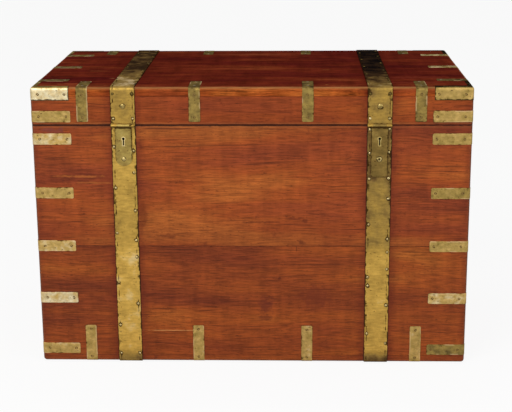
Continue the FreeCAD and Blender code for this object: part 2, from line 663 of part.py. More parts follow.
    hasp_blank = join(f"{side}_hasp_blank", [hasp_plate, hasp_barrel, hasp_neck, rim])
    piece(f"{side}_hasp", cut(f"{side}_hasp", hasp_blank, [hasp_bore, keyhole, stem_bore]))

    # Staple riveted through the hasp; its eye takes the nose of the bolt.
    head = f"Size.staple_head_{side}"
    eye_start = "At.front + Size.bolt_fit + Size.bolt_thickness"
    bolt_levels = (f"{stem_level} - Size.bolt_height / 2", f"{stem_level} + Size.bolt_height / 2")
    staple_solids = [
        rod(f"{side}_staple_stem", (0, 1, 0), middle, hasp_front, stem_level, "Size.staple_stem",
            "Size.hasp_thickness"),
        block(f"{side}_staple_blade",
              (f"{middle} - Size.staple_width / 2", f"{middle} + Size.staple_width / 2"),
              ("At.hasp_back", "At.front + Size.staple_depth"),
              (f"{stem_level} - Size.staple_height / 2", f"{stem_level} + Size.staple_height / 2")),
        dome(f"{side}_staple_head", (0, 1, 0), middle, hasp_front, stem_level, head,
             "Size.staple_head_height"),
    ]
    eye = block(f"{side}_staple_eye", (f"{middle} - Size.staple_width", f"{middle} + Size.staple_width"),
                (f"{eye_start} - Size.bolt_fit", f"{eye_start} + Size.bolt_thickness + Size.bolt_fit"),
                (f"{bolt_levels[0]} - Size.bolt_fit", f"{bolt_levels[1]} + Size.bolt_fit"))
    staple_cuts = [eye]
    if side == "right":
        staple_cuts.append(rod("right_staple_hollow", (0, -1, 0), middle, hasp_front, stem_level,
                               "Size.staple_head_hole", "2 * Size.staple_head_height"))
    piece(f"{side}_staple",
          cut(f"{side}_staple", join(f"{side}_staple_blank", staple_solids), staple_cuts))

    # Channel for the staple, open at the top so that the lid can lift with the hasp closed.
    channel_bottom = f"{stem_level} - Size.staple_height / 2 - 2 * Size.staple_clearance"
    channel = block(f"{side}_channel",
                    (f"{middle} - Size.staple_width / 2 - Size.staple_clearance",
                     f"{middle} + Size.staple_width / 2 + Size.staple_clearance"),
                    ("At.front - 2 * Size.strap_thickness",
                     "At.front + Size.staple_depth + Size.staple_clearance"),
                    (channel_bottom, "At.joint"))

    # Lock case in a mortise right through the board, closed inside the chest by its cap.
    lock_top = "At.joint - Size.lock_top"
    lock_end = f"{lock_top} - Size.lock_height"
    case_x = (f"{middle} - Size.lock_width / 2", f"{middle} + Size.lock_width / 2")
    mortise = block(f"{side}_mortise", case_x, ("At.front", "At.front + Size.wall"), (lock_end, lock_top))
    hollow = block(f"{side}_lock_hollow", (f"{case_x[0]} + Size.lock_plate", f"{case_x[1]} - Size.lock_plate"),
                   ("At.front + Size.lock_plate", "At.front + Size.wall"),
                   (f"{lock_end} + Size.lock_plate", f"{lock_top} - Size.lock_plate"))
    piece(f"{side}_lock_case", cut(f"{side}_lock_case", mortise, [hollow, channel]))
    cap_plate = block(f"{side}_cap_plate", case_x, ("At.front + Size.wall",
                                                    "At.front + Size.wall + Size.lock_plate"),
                      (f"{lock_end} - Size.lock_flange", f"{lock_top} + Size.lock_flange"))
    drill_pin = rod(f"{side}_drill_pin", (0, -1, 0), middle, "At.front + Size.wall", key_level,
                    "Size.screw_shank", "Size.wall - Size.staple_depth - Size.staple_clearance")
    cap_screws_here = [
        screw(f"{side}_cap_screw_{number}", (0, -1, 0), middle,
              "At.front + Size.wall + Size.lock_plate", level)
        for number, level in enumerate((f"{lock_end} - Size.lock_flange / 2",
                                        f"{lock_top} + Size.lock_flange / 2"))
    ]
    lock_screws += cap_screws_here
    cap_blank = join(f"{side}_lock_cap_blank", [cap_plate, drill_pin])
    piece(f"{side}_lock_cap", cut(f"{side}_lock_cap", cap_blank,
                                  [group(f"{side}_cap_screws", cap_screws_here)]))

    # Bolt: a plate behind the staple, and a nose beside it that slides into the eye.
    rest = f"{case_x[0]} + Size.lock_plate + Size.bolt_fit"
    nose_end = f"{middle} - Size.staple_width / 2 - 3 * Size.bolt_fit"
    tail = "At.front + Size.staple_depth + 2 * Size.staple_clearance"
    bolt_solids = [
        block(f"{side}_bolt_nose", (rest, nose_end), (eye_start, f"{eye_start} + Size.bolt_thickness"),
              bolt_levels),
        block(f"{side}_bolt_link", (rest, f"{rest} + Size.lock_plate"),
              (eye_start, f"{tail} + Size.bolt_thickness"), bolt_levels),
        block(f"{side}_bolt_plate", (rest, nose_end), (tail, f"{tail} + Size.bolt_thickness"),
              (bolt_levels[0], f"{key_level} - Size.keyhole_length / 2")),
    ]
    piece(f"{side}_lock_bolt", join(f"{side}_lock_bolt", bolt_solids))

    # Folded leaf spring on the floor of the case, under the bolt.
    floor = f"{lock_end} + Size.lock_plate"
    leaf = "(Size.pin_head / 2)"
    spring_top = f"{bolt_levels[0]} - Size.knuckle_gap"
    spring_y = (tail, f"{tail} + Size.bolt_thickness")
    spring_solids = [
        block(f"{side}_spring_foot", (rest, middle), spring_y, (floor, f"{floor} + {leaf}")),
        block(f"{side}_spring_riser", (middle, f"{middle} - {leaf}"), spring_y, (floor, spring_top)),
        block(f"{side}_spring_head", (rest, middle), spring_y, (spring_top, f"{spring_top} - {leaf}")),
    ]
    piece(f"{side}_lock_spring", join(f"{side}_lock_spring", spring_solids))

    base_board_cuts += [mortise, channel]

    # The straps, with the bores of their hinges; the base's front strap also has the channel.
    foot_region = block(f"{side}_base_front_region", width,
                        ("At.front - 2 * Size.strap_thickness", "At.front + Size.foot_length"),
                        ("0", f"At.joint - {hasp_clear}"))
    foot_strip = overlap(f"{side}_base_front_strip", base_strap_skin, foot_region)
    straps = (
        ("base_front_strap", foot_strip, [channel], "base"),
        ("base_back_strap", back_leaf, [hinge_bore], "base"),
        ("lid_front_strap", front_leaf, [hasp_bore], "lid"),
        ("lid_top_strap", top_leaf, [hinge_bore], "lid"),
    )
    for name, leaf_solid, holes, owner in straps:
        made = base_nails if owner == "base" else lid_nails
        mine = [solid for solid in made if solid.Name.startswith(side)]
        tools = holes + [group(f"{side}_{name}_nails", mine)]
        piece(f"{side}_{name}", cut(f"{side}_{name}", leaf_solid, tools))

piece("base_strap_nails", group("base_strap_nails", base_nails))
piece("lid_strap_nails", group("lid_strap_nails", lid_nails))
piece("lock_cap_screws", group("lock_cap_screws", lock_screws))


# ---------------------------------------------------------------- side handles

handle_screws = []
for side, hand in (("left", -1), ("right", 1)):
    half_width = "Size.handle_plate_width / 2"
    half_height = "Size.handle_plate_height / 2"
    levels = (f"At.handle_z - {half_height}", f"At.handle_z + {half_height}")

    def is_through(edge):
        """An edge through the plate's thickness."""
        return abs(edge.Vertexes[0].X - edge.Vertexes[1].X) > 1e-6

    corners = ((f"-{half_width}", levels[0]), (half_width, levels[0]),
               (half_width, levels[1]), (f"-{half_width}", levels[1]))
    inner = "At.side" if hand > 0 else "-At.side - Size.handle_plate_thickness"
    back_plate = plate(f"{side}_handle_back", "YZ_Plane", inner, corners,
                       "Size.handle_plate_thickness", is_through, "Size.handle_plate_corner")
    outward = (hand, 0, 0)
    posts = [rod(f"{side}_post_{number}", outward, f"{hand} * At.side",
                 f"{sign} * Size.post_spacing / 2", "At.handle_z", "Size.post_radius",
                 "Size.post_length")
             for number, sign in enumerate(SIGNS)]
    pivot_bore = rod(f"{side}_pivot_bore", (0, 1, 0), f"{hand} * At.handle_x", "-At.arm_y",
                     "At.handle_z", "Size.bail_pivot + Size.bail_fit", "2 * At.arm_y")
    screws_here = [
        screw(f"{side}_plate_screw_{sign_y}_{sign_z}".replace("-", "m"), (-hand, 0, 0),
              f"{hand} * (At.side + Size.handle_plate_thickness)",
              f"{sign_y} * ({half_width} - Size.screw_from_end)",
              f"At.handle_z + {sign_z} * ({half_height} - Size.screw_from_end)")
        for sign_y in SIGNS for sign_z in SIGNS
    ]
    handle_screws += screws_here
    plate_blank = join(f"{side}_handle_plate_blank", [back_plate] + posts)
    piece(f"{side}_handle_plate",
          cut(f"{side}_handle_plate", plate_blank, [pivot_bore, group(f"{side}_plate_screws", screws_here)]))

    # The handle: a grip, two bends and two arms whose inward pivots turn in the posts.
    axis_x = f"{hand} * At.handle_x"
    grip_z = "At.handle_z - Size.bail_drop"
    bail = [rod(f"{side}_grip", (0, 1, 0), axis_x, "Size.bail_bend - At.arm_y", grip_z,
                "Size.bail_rod", "2 * (At.arm_y - Size.bail_bend)")]
    for sign in SIGNS:
        tag = f"{side}_{'near' if sign < 0 else 'far'}"
        bend = doc.addObject("Part::Torus", f"{tag}_bend")
        bend.setExpression("Radius1", "Size.bail_bend")
        bend.setExpression("Radius2", "Size.bail_rod")
        bend.Angle3 = 90
        bend.Placement.Rotation = Rotation(Vector(0, sign, 0), Vector(0, 0, -1), Vector(-sign, 0, 0), "XYZ")
        bend.setExpression("Placement.Base.x", axis_x)
        bend.setExpression("Placement.Base.y", f"{sign} * (At.arm_y - Size.bail_bend)")
        bend.setExpression("Placement.Base.z", f"{grip_z} + Size.bail_bend")
        arm = rod(f"{tag}_arm", (0, 0, 1), axis_x, f"{sign} * At.arm_y", f"{grip_z} + Size.bail_bend",
                  "Size.bail_rod", "Size.bail_drop - Size.bail_bend")
        elbow = doc.addObject("Part::Sphere", f"{tag}_elbow")
        elbow.setExpression("Radius", "Size.bail_rod")
        aim(elbow, (0, 0, 1), axis_x, f"{sign} * At.arm_y", "At.handle_z")
        pivot = rod(f"{tag}_pivot", (0, -sign, 0), axis_x, f"{sign} * At.arm_y", "At.handle_z",
                    "Size.bail_pivot", "At.arm_y - Size.post_spacing / 2 + Size.post_radius")
        bail += [bend, arm, elbow, pivot]
    piece(f"{side}_handle", join(f"{side}_handle", bail))

piece("handle_plate_screws", group("handle_plate_screws", handle_screws))


# ---------------------------------------------------------------- boards

FULL_X = ("-At.side", "At.side")
HOUSED_Y = ("At.front + Size.wall - Size.housing_depth", "At.back - Size.wall + Size.housing_depth")
FRONT_Y = ("At.front", "At.front + Size.wall")
BACK_Y = ("At.back - Size.wall", "At.back")
LEFT_X = ("-At.side", "Size.wall - At.side")
RIGHT_X = ("At.side - Size.wall", "At.side")


def board(name, form, x, y, z, tools, fasteners):
    """A board shaped to the chest's outer form, with its neighbours and fittings cut out, and
    a hole for each fastener that reaches it."""
    stock = block(f"{name}_stock", x, y, z)
    stock.recompute()
    room = stock.Shape.BoundBox
    reaching = [fastener for fastener in fasteners if fastener.Shape.BoundBox.intersect(room)]
    blank = overlap(f"{name}_blank", stock, form)
    return piece(name, cut(name, blank, tools + [group(f"{name}_holes", reaching)]))


doc.recompute()
base_form = BASE_FORMS["wood"]
base_fasteners = base_screws + base_nails + lock_screws + handle_screws
floor_z = "At.underside + Size.bottom_board"
for course, levels in (("lower", (floor_z, "At.seam")), ("upper", ("At.seam", "At.base_top"))):
    ends = [board(f"left_end_{course}", base_form, LEFT_X, HOUSED_Y, levels, base_recesses, base_fasteners),
            board(f"right_end_{course}", base_form, RIGHT_X, HOUSED_Y, levels, base_recesses,
                  base_fasteners)]
    lock_cuts = base_board_cuts if course == "upper" else []
    board(f"front_board_{course}", base_form, FULL_X, FRONT_Y, levels,
          lock_cuts + ends + base_recesses, base_fasteners)
    board(f"back_board_{course}", base_form, FULL_X, BACK_Y, levels, ends + base_recesses,
          base_fasteners)

lid_form = LID_FORMS["wood"]
lid_fasteners = lid_screws + lid_nails
for place, span in (("front", ("At.front", "0")), ("back", ("0", "At.back"))):
    board(f"bottom_plank_{place}", base_form, FULL_X, span, ("At.underside", floor_z),
          base_recesses, base_fasteners)
    board(f"lid_plank_{place}", lid_form, FULL_X, span, ("At.top - Size.lid_board", "At.top"),
          lid_recesses, lid_fasteners)

rail_z = ("At.lid_bottom", "At.top - Size.lid_board")
lid_ends = [board("left_lid_rail", lid_form, LEFT_X, HOUSED_Y, rail_z, lid_recesses, lid_fasteners),
            board("right_lid_rail", lid_form, RIGHT_X, HOUSED_Y, rail_z, lid_recesses, lid_fasteners)]
board("front_lid_rail", lid_form, FULL_X, FRONT_Y, rail_z, lid_ends + lid_recesses, lid_fasteners)
board("back_lid_rail", lid_form, FULL_X, BACK_Y, rail_z, lid_ends + lid_recesses, lid_fasteners)

# ---------------------------------------------------------------- check and write

doc.recompute()
for item in doc.Objects:
    if "Invalid" in item.State or "Error" in item.State:
        raise RuntimeError(f"{item.Name} did not compute: {item.State}")
for solid in PIECES:
    if solid.Shape.isNull() or not solid.Shape.isValid() or not solid.Shape.Solids:
        raise RuntimeError(f"{solid.Label} has no valid solid")
    if any(body.Volume <= 0 for body in solid.Shape.Solids):
        raise RuntimeError(f"{solid.Label} holds a solid that is inside out")

os.makedirs("parts", exist_ok=True)
for solid in PIECES:
    solid.Shape.exportStep(f"parts/{solid.Label}.step")
print(len(PIECES), "sub-parts,", sum(len(solid.Shape.Solids) for solid in PIECES), "solids")
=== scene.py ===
from contextlib import contextmanager
from math import pi, radians

import bmesh
import bpy
import numpy as np
from mathutils import Matrix, Vector


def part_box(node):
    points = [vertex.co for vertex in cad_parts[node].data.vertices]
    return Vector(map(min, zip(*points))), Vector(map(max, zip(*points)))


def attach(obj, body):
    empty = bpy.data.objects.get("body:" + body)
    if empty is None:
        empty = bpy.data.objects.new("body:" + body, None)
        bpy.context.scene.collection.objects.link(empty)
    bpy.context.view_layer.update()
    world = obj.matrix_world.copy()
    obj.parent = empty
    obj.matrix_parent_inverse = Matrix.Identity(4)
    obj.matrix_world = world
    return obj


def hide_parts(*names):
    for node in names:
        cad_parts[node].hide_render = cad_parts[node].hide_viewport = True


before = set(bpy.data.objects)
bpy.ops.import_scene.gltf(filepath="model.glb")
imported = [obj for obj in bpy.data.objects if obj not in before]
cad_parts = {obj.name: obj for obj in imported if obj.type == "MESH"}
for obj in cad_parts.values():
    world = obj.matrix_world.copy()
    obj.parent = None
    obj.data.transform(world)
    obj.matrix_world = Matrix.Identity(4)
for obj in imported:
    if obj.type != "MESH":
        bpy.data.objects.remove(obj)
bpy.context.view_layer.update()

# ---------------------------------------------------------------- boards of the base and the lid
# Straight-grained tropical hardwood, sawn and planed by hand, stained red-brown and waxed.
# The base has two courses of boards on two bottom planks, the lid two planks on four rails, all
# housed at the corners and nailed.

SIDE, FRONT, BACK = 0.457, -0.254, 0.254
UNDERSIDE, FLOOR, SEAM, BASE_TOP = 0.0016, 0.0166, 0.2636, 0.5253
JOINT, LID_BOTTOM, LID_INSIDE, TOP = 0.5256, 0.5259, 0.5856, 0.6056
WALL, HOUSED, ARRIS = 0.022, 0.012, 0.007
SIGNS, SIDES = (-1, 1), {"left": -1, "right": 1}

STRAP_X, STRAP_WIDTH, STRAP_THICK, STRAP_UNDER = 0.2655, 0.050, 0.0016, 0.050
CLIP_WIDTH, CLIP_PROUD, CLIP_LET_IN = 0.025, 0.0004, 0.001
CORNER_CLIP_LEGS, LOW_CLIP_LEGS, LID_CLIP_LEGS = (0.082, 0.066), (0.083, 0.060), (0.073, 0.068)
CORNER_CLIP_LEVELS = UNDERSIDE + 0.0295 + np.arange(5) * 0.11625
LID_CLIP_LEVEL = JOINT + 0.018
EDGE_CLIP_X, EDGE_CLIP_Y = (-0.350, -0.117, 0.117, 0.350), (-0.172, 0.0, 0.172)
EDGE_CLIPS = {"base": (LOW_CLIP_LEGS, UNDERSIDE, 1), "lid": (LID_CLIP_LEGS, TOP, -1)}
CAP_LEGS, CAP_HEIGHT, CAP_TURNOVER = (0.080, 0.066), 0.028, 0.012

# The room each brass fitting takes on the wood: dirt and painted contact shade lie round them all.
seats = {"base": [], "lid": []}


def take_room(body, one, other):
    """Notes the box between two opposite corners."""
    seats[body].append(np.sort([one, other], axis=0))


skin, over, half_clip = 0.004, TOP + 0.01, CLIP_WIDTH / 2
for sx in SIGNS:
    left, right = sx * STRAP_X - STRAP_WIDTH / 2, sx * STRAP_X + STRAP_WIDTH / 2
    for face, inward in ((FRONT, 1), (BACK, -1)):
        take_room("base", (left, face - skin, 0.0), (right, face + skin, JOINT))
        take_room("lid", (left, face - skin, JOINT), (right, face + skin, over))
        take_room("base", (left, face, 0.0), (right, face + inward * STRAP_UNDER, skin))
    take_room("lid", (left, FRONT, TOP - skin), (right, BACK, over))
    rooms = [("base", CORNER_CLIP_LEGS, level - half_clip, level + half_clip)
             for level in CORNER_CLIP_LEVELS]
    rooms += [("lid", CORNER_CLIP_LEGS, LID_CLIP_LEVEL - half_clip, LID_CLIP_LEVEL + half_clip),
              ("lid", (CAP_LEGS[0], CAP_TURNOVER), TOP - CAP_HEIGHT, TOP),
              ("lid", (CAP_TURNOVER, CAP_LEGS[1]), TOP - CAP_HEIGHT, TOP)]
    for sy in SIGNS:
        for body, legs, low, high in rooms:
            take_room(body, (sx * SIDE, sy * BACK, low),
                      (sx * (SIDE - legs[0]), sy * (BACK - legs[1]), high))
for body, (legs, edge, up) in EDGE_CLIPS.items():
    end = edge + up * legs[0]
    for sign in SIGNS:
        for x in EDGE_CLIP_X:
            take_room(body, (x - half_clip, sign * BACK, edge),
                      (x + half_clip, sign * (BACK - legs[1]), end))
        for y in EDGE_CLIP_Y:
            take_room(body, (sign * SIDE, y - half_clip, edge),
                      (sign * (SIDE - legs[1]), y + half_clip, end))
seats = {body: np.array(boxes) for body, boxes in seats.items()}


def linear(colour):
    """An sRGB hex colour as linear red, green and blue, with full alpha."""
    parts = np.array([int(colour[i:i + 2], 16) for i in (1, 3, 5)]) / 255
    parts = np.where(parts <= 0.04045, parts / 12.92, ((parts + 0.055) / 1.055) ** 2.4)
    return (*parts.tolist(), 1.0)


def connect(node, inputs):
    """Sets a node's inputs, given in their order or by name or number: to numbers and hex
    colours, or by a link to a socket or to the first output in use of another node."""
    for socket, source in inputs.items() if isinstance(inputs, dict) else enumerate(inputs):
        if isinstance(source, bpy.types.Node):
            source = next(output for output in source.outputs if output.enabled)
        if isinstance(source, bpy.types.NodeSocket):
            node.id_data.links.new(source, node.inputs[socket])
        else:
            source = linear(source) if isinstance(source, str) else source
            node.inputs[socket].default_value = source


def add(tree, kind, inputs, stops=(), **settings):
    """Adds a shader node with its settings, its colour stops and its inputs."""
    node = tree.nodes.new("ShaderNode" + kind)
    for name, setting in settings.items():
        setattr(node, name, setting)
    for number, (place, colour) in enumerate(stops):
        ramp = node.color_ramp.elements
        element = ramp[number] if number < 2 else ramp.new(place)
        element.position = place
        element.color = linear(colour) if isinstance(colour, str) else (colour, colour, colour, 1)
    connect(node, inputs)
    return node


def material_of(name):
    """A new node material: its tree, its surface shader and its texture coordinates."""
    material = bpy.data.materials.new(name)
    material.use_nodes = True
    tree = material.node_tree
    return material, tree, tree.nodes["Principled BSDF"], tree.nodes.new("ShaderNodeTexCoord")


def hardwood(name, along, offset, tones, top_tones_and_shade, streak_depth, gloss=0.12, stains_and_sheen=(), across=2,
             bands=0.5):
    """Waxed hardwood whose grain runs along one axis; the offset keeps two boards from being
    alike.  Noise stretched along the grain gives, from coarse to fine, the tone of the board,
    its streaks, which differ by the streak depth, and its open pores; a slow warp lets the
    grain wander by 30 mm.  Faces that look up have tones of their own, which can carry painted
    shade, and higher bands break the tone into narrow stripes.  Each stain, scratch and painted
    sheen has its place in x and on the axis across, half its size on both, and its colour."""
    material, tree, shader, place = material_of(name)
    darker_zone, inside, grime_and_shade, wear_and_highlight = (add(tree, "Attribute", (), attribute_name=mark).outputs["Fac"]
                                for mark in ("darker_zone", "inside", "grime_and_shade", "wear_and_highlight"))
    start = add(tree, "Mapping", {"Vector": place.outputs["Object"], "Location": offset})
    slow = add(tree, "TexNoise", {"Vector": start, "Scale": 1000 / 385, "Detail": 2.0})
    warp = add(tree, "VectorMath", (slow.outputs["Color"], (0.03, 0.03, 0.03), start),
               operation="MULTIPLY_ADD")

    def grain(length, width, detail, roughness):
        """Noise whose features are as long and as wide as given, in millimetres."""
        scale = [1000 / width] * 3
        scale[along] = 1000 / length
        stretched = add(tree, "Mapping", {"Vector": warp, "Scale": scale})
        return add(tree, "TexNoise", {"Vector": stretched, "Scale": 1.0, "Detail": detail,
                                      "Roughness": roughness})

    tone = grain(420, 75, 3, bands)
    streak = grain(38, 2.3, 4, 0.68)
    figure = grain(22, 120, 3, 0.6)
    vein = grain(200, 3.0, 2, 0.5)
    pore = grain(9, 2.0, 1, 0.5)  # real pores are 0.3 mm wide, too fine to show
    facing = add(tree, "SeparateXYZ", (place.outputs["Normal"],))
    # Faces that look up take the top tones; on the lid these are partly painted shade.
    upward = add(tree, "MapRange", (facing.outputs["Z"], 0.35, 0.85))
    colour = add(tree, "Mix", {0: upward, 6: add(tree, "ValToRGB", (tone,), tones),
                               7: add(tree, "ValToRGB", (tone,), top_tones_and_shade)}, data_type="RGBA")
    shade = add(tree, "Math", (figure, 0.32, streak), operation="MULTIPLY_ADD")
    light = add(tree, "ValToRGB", (shade,),
                ((0.49, 1 - streak_depth), (0.83, 1 + 0.8 * streak_depth)))
    colour = add(tree, "Mix", {0: 1.0, 6: colour, 7: light}, data_type="RGBA",
                 blend_type="MULTIPLY")
    line = add(tree, "MapRange", (vein, 0.385, 0.29, 0.0, 0.68))
    dash = add(tree, "MapRange", (pore, 0.36, 0.26, 0.0, 0.6))
    open_grain = add(tree, "Math", (line, dash), operation="MAXIMUM")

    # Knocks some centimetres apart, and zones that are darker by the straps and edges.
    knocks = add(tree, "TexNoise", {"Vector": start, "Scale": 1000 / 33, "Detail": 5.0,
                                    "Roughness": 0.7})
    spot = add(tree, "MapRange", (knocks, 0.64, 0.74, 0.0, 0.6))
    darker_patch = add(tree, "Math", (darker_zone, knocks), operation="MULTIPLY")
    layers = [(open_grain, "#4b2110"), (spot, "#4a1a10"), (darker_patch, "#581c12")]

    # Each stain, and the painted sheen, is a ball round its centre with a ragged edge: the noise
    # is 0.5 in the mean.
    smear = add(tree, "TexNoise", {"Vector": start, "Scale": 1000 / 10.5, "Detail": 3.0})
    plane = np.eye(3)[0] + np.eye(3)[across]
    for x, level, half_width, half_height, tint in stains_and_sheen:
        half, centre = np.array([(half_width, half_height, half_height), (x, level, level)])
        spread = add(tree, "Mapping", {"Vector": place.outputs["Object"], "Scale": plane / half,
                                       "Location": -(centre / half + 1) * plane})
        ragged = add(tree, "VectorMath", (smear.outputs["Color"], 2 * plane, spread),
                     operation="MULTIPLY_ADD")
        ball = add(tree, "TexGradient", {"Vector": ragged}, gradient_type="SPHERICAL")
        layers.append((add(tree, "MapRange", (ball.outputs["Fac"], 0.0, 0.6, 0.0, 0.55)), tint))

    # Raw, unwaxed wood inside; darker zones, and dirt round the brass and in the seams with painted
    # shade at the brass and along the joint; edges rubbed pale, partly a painted highlight.
    for share, tint in (*layers, (inside, "#a9764a")):
        colour = add(tree, "Mix", {0: share, 6: colour, 7: tint}, data_type="RGBA")
    raw = add(tree, "Mix", {0: inside, 6: (1, 1, 1, 1), 7: light}, data_type="RGBA")
    colour = add(tree, "Mix", {0: 1.0, 6: colour, 7: raw}, data_type="RGBA", blend_type="MULTIPLY")
    dirt_and_shade = add(tree, "Math", (smear, 1.1, grime_and_shade), operation="MULTIPLY_ADD")
    dirt_and_shade_share = add(tree, "MapRange", (dirt_and_shade, 0.85, 1.5, 0.0, 0.88))
    rubbed = add(tree, "Math", (wear_and_highlight, streak), operation="MULTIPLY")
    for share, tint in ((dirt_and_shade_share, "#26100b"), (rubbed, "#c58a52")):
        colour = add(tree, "Mix", {0: share, 6: colour, 7: tint}, data_type="RGBA")

    polish = add(tree, "MapRange", {0: streak, 3: 0.34, 4: 0.56})
    dull = add(tree, "Mix", {0: inside, 2: polish, 3: 0.8})
    heights = add(tree, "Math", (open_grain, -0.8, streak), operation="MULTIPLY_ADD")
    bump = add(tree, "Bump", {"Strength": 0.30, "Distance": 0.0006, "Height": heights})
    connect(shader, {"Base Color": colour, "Roughness": dull, "Normal": bump,
                     "Specular IOR Level": gloss})
    return material


def lattice(lines):
    """The skin of a box as quads: every point where lines of the three axes meet on its six
    faces, numbered once, so that the skin is closed."""
    shape = [len(axis) for axis in lines]
    number = np.arange(np.prod(shape)).reshape(shape)
    quads = []
    for axis in range(3):
        for end in (0, -1):
            sheet = np.take(number, end, axis)
            if (end == 0) != (axis == 1):
                sheet = sheet.T
            quads.append(np.stack([sheet[:-1, :-1], sheet[1:, :-1], sheet[1:, 1:], sheet[:-1, 1:]],
                                  -1).reshape(-1, 4))
    used, faces = np.unique(np.concatenate(quads), return_inverse=True)
    grid = np.stack(np.meshgrid(*lines, indexing="ij"), -1).reshape(-1, 3)
    return grid[used], faces.reshape(-1, 4)


def eased(points, low, high, radius):
    """Draws back the points beyond a box's rounded form: the nearest point of the box shrunk
    by the radius, plus the radius towards the point."""
    core = np.clip(points, np.array(low) + radius, np.array(high) - radius)
    away = points - core
    reach = np.linalg.norm(away, axis=1, keepdims=True)
    return np.where(reach > radius, core + away * radius / np.maximum(reach, 1e-9), points)


def ripple(points, seed, length):
    """A smooth random surface from 0 to 1: the mean of sines of random direction and phase
    whose waves are about as long as given."""
    random = np.random.default_rng(seed)
    waves = random.normal(0, 1, (3, 9)) * 2 * pi / length
    return 0.5 + 0.5 * np.sin(points @ waves + random.uniform(0, 2 * pi, 9)).mean(axis=1)


def fade(values, start, end):
    """From 0 at start to 1 at end, slowly at both."""
    part = ((values - start) / (end - start)).clip(0, 1)
    return part * part * (3 - 2 * part)


def in_scene(name, data):
    """A new object, linked to the scene."""
    made = bpy.data.objects.new(name, data)
    bpy.context.scene.collection.objects.link(made)
    return made


def write_marks(mesh, marks):
    """Writes each mark, one number per point, for the material to read."""
    for mark, values in marks.items():
        attribute = mesh.attributes.new(mark, "FLOAT", "POINT")
        attribute.data.foreach_set("value", np.asarray(values, np.float32))


def assign(made, material, sharp, body, nodes):
    """Finishes a piece: smooth but for edges over the sharp angle, made of the material, riding
    on the body and standing for its CAD nodes."""
    made.data.shade_smooth()
    made.data.set_sharp_from_angle(angle=radians(sharp))
    made.data.materials.append(material)
    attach(made, body)
    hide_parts(*nodes)


@contextmanager
def editing(mesh):
    """Opens a mesh for edits by its points and faces, and writes them back."""
    edit = bmesh.new()
    edit.from_mesh(mesh)
    yield edit
    edit.to_mesh(mesh)
    edit.free()


def joined(shells, part=0):
    """The points of some shells, or another part of them, in one array."""
    return np.concatenate([shell[part] for shell in shells])


def solid(name, shells, material, body, nodes, marks, merged=False):
    """Makes one piece of closed shells, whose first two parts are points and faces.  Where
    shells are merged, points that meet become one and every face is turned outwards."""
    starts = np.cumsum([0] + [len(shell[0]) for shell in shells])
    faces = [[corner + start for corner in face]
             for start, shell in zip(starts.tolist(), shells) for face in shell[1]]
    mesh = bpy.data.meshes.new(name)
    mesh.from_pydata(joined(shells).tolist(), [], faces)
    write_marks(mesh, marks)
    if merged:
        with editing(mesh) as edit:
            bmesh.ops.remove_doubles(edit, verts=edit.verts, dist=2e-7)
            bmesh.ops.recalc_face_normals(edit, faces=edit.faces)
    made = in_scene(name, mesh)
    assign(made, material, 38, body, nodes)
    return made


def keep_modified(made):
    """Makes the result of a piece's modifiers its mesh."""
    kept = bpy.data.meshes.new_from_object(
        made.evaluated_get(bpy.context.evaluated_depsgraph_get()))
    made.modifiers.clear()
    made.data = kept


def carve(made, boxes):
    """Takes boxes, each from its low to its high corner, out of a piece."""
    for box in boxes:
        points, faces = lattice(np.transpose(box))
        mesh = bpy.data.meshes.new("cutter")
        mesh.from_pydata(points.tolist(), [], faces.tolist())
        cut, cutter = made.modifiers.new("cut", "BOOLEAN"), in_scene("cutter", mesh)
        cut.operation, cut.solver, cut.object = "DIFFERENCE", "EXACT", cutter
        keep_modified(made)
        bpy.data.objects.remove(cutter)
        bpy.data.meshes.remove(mesh)


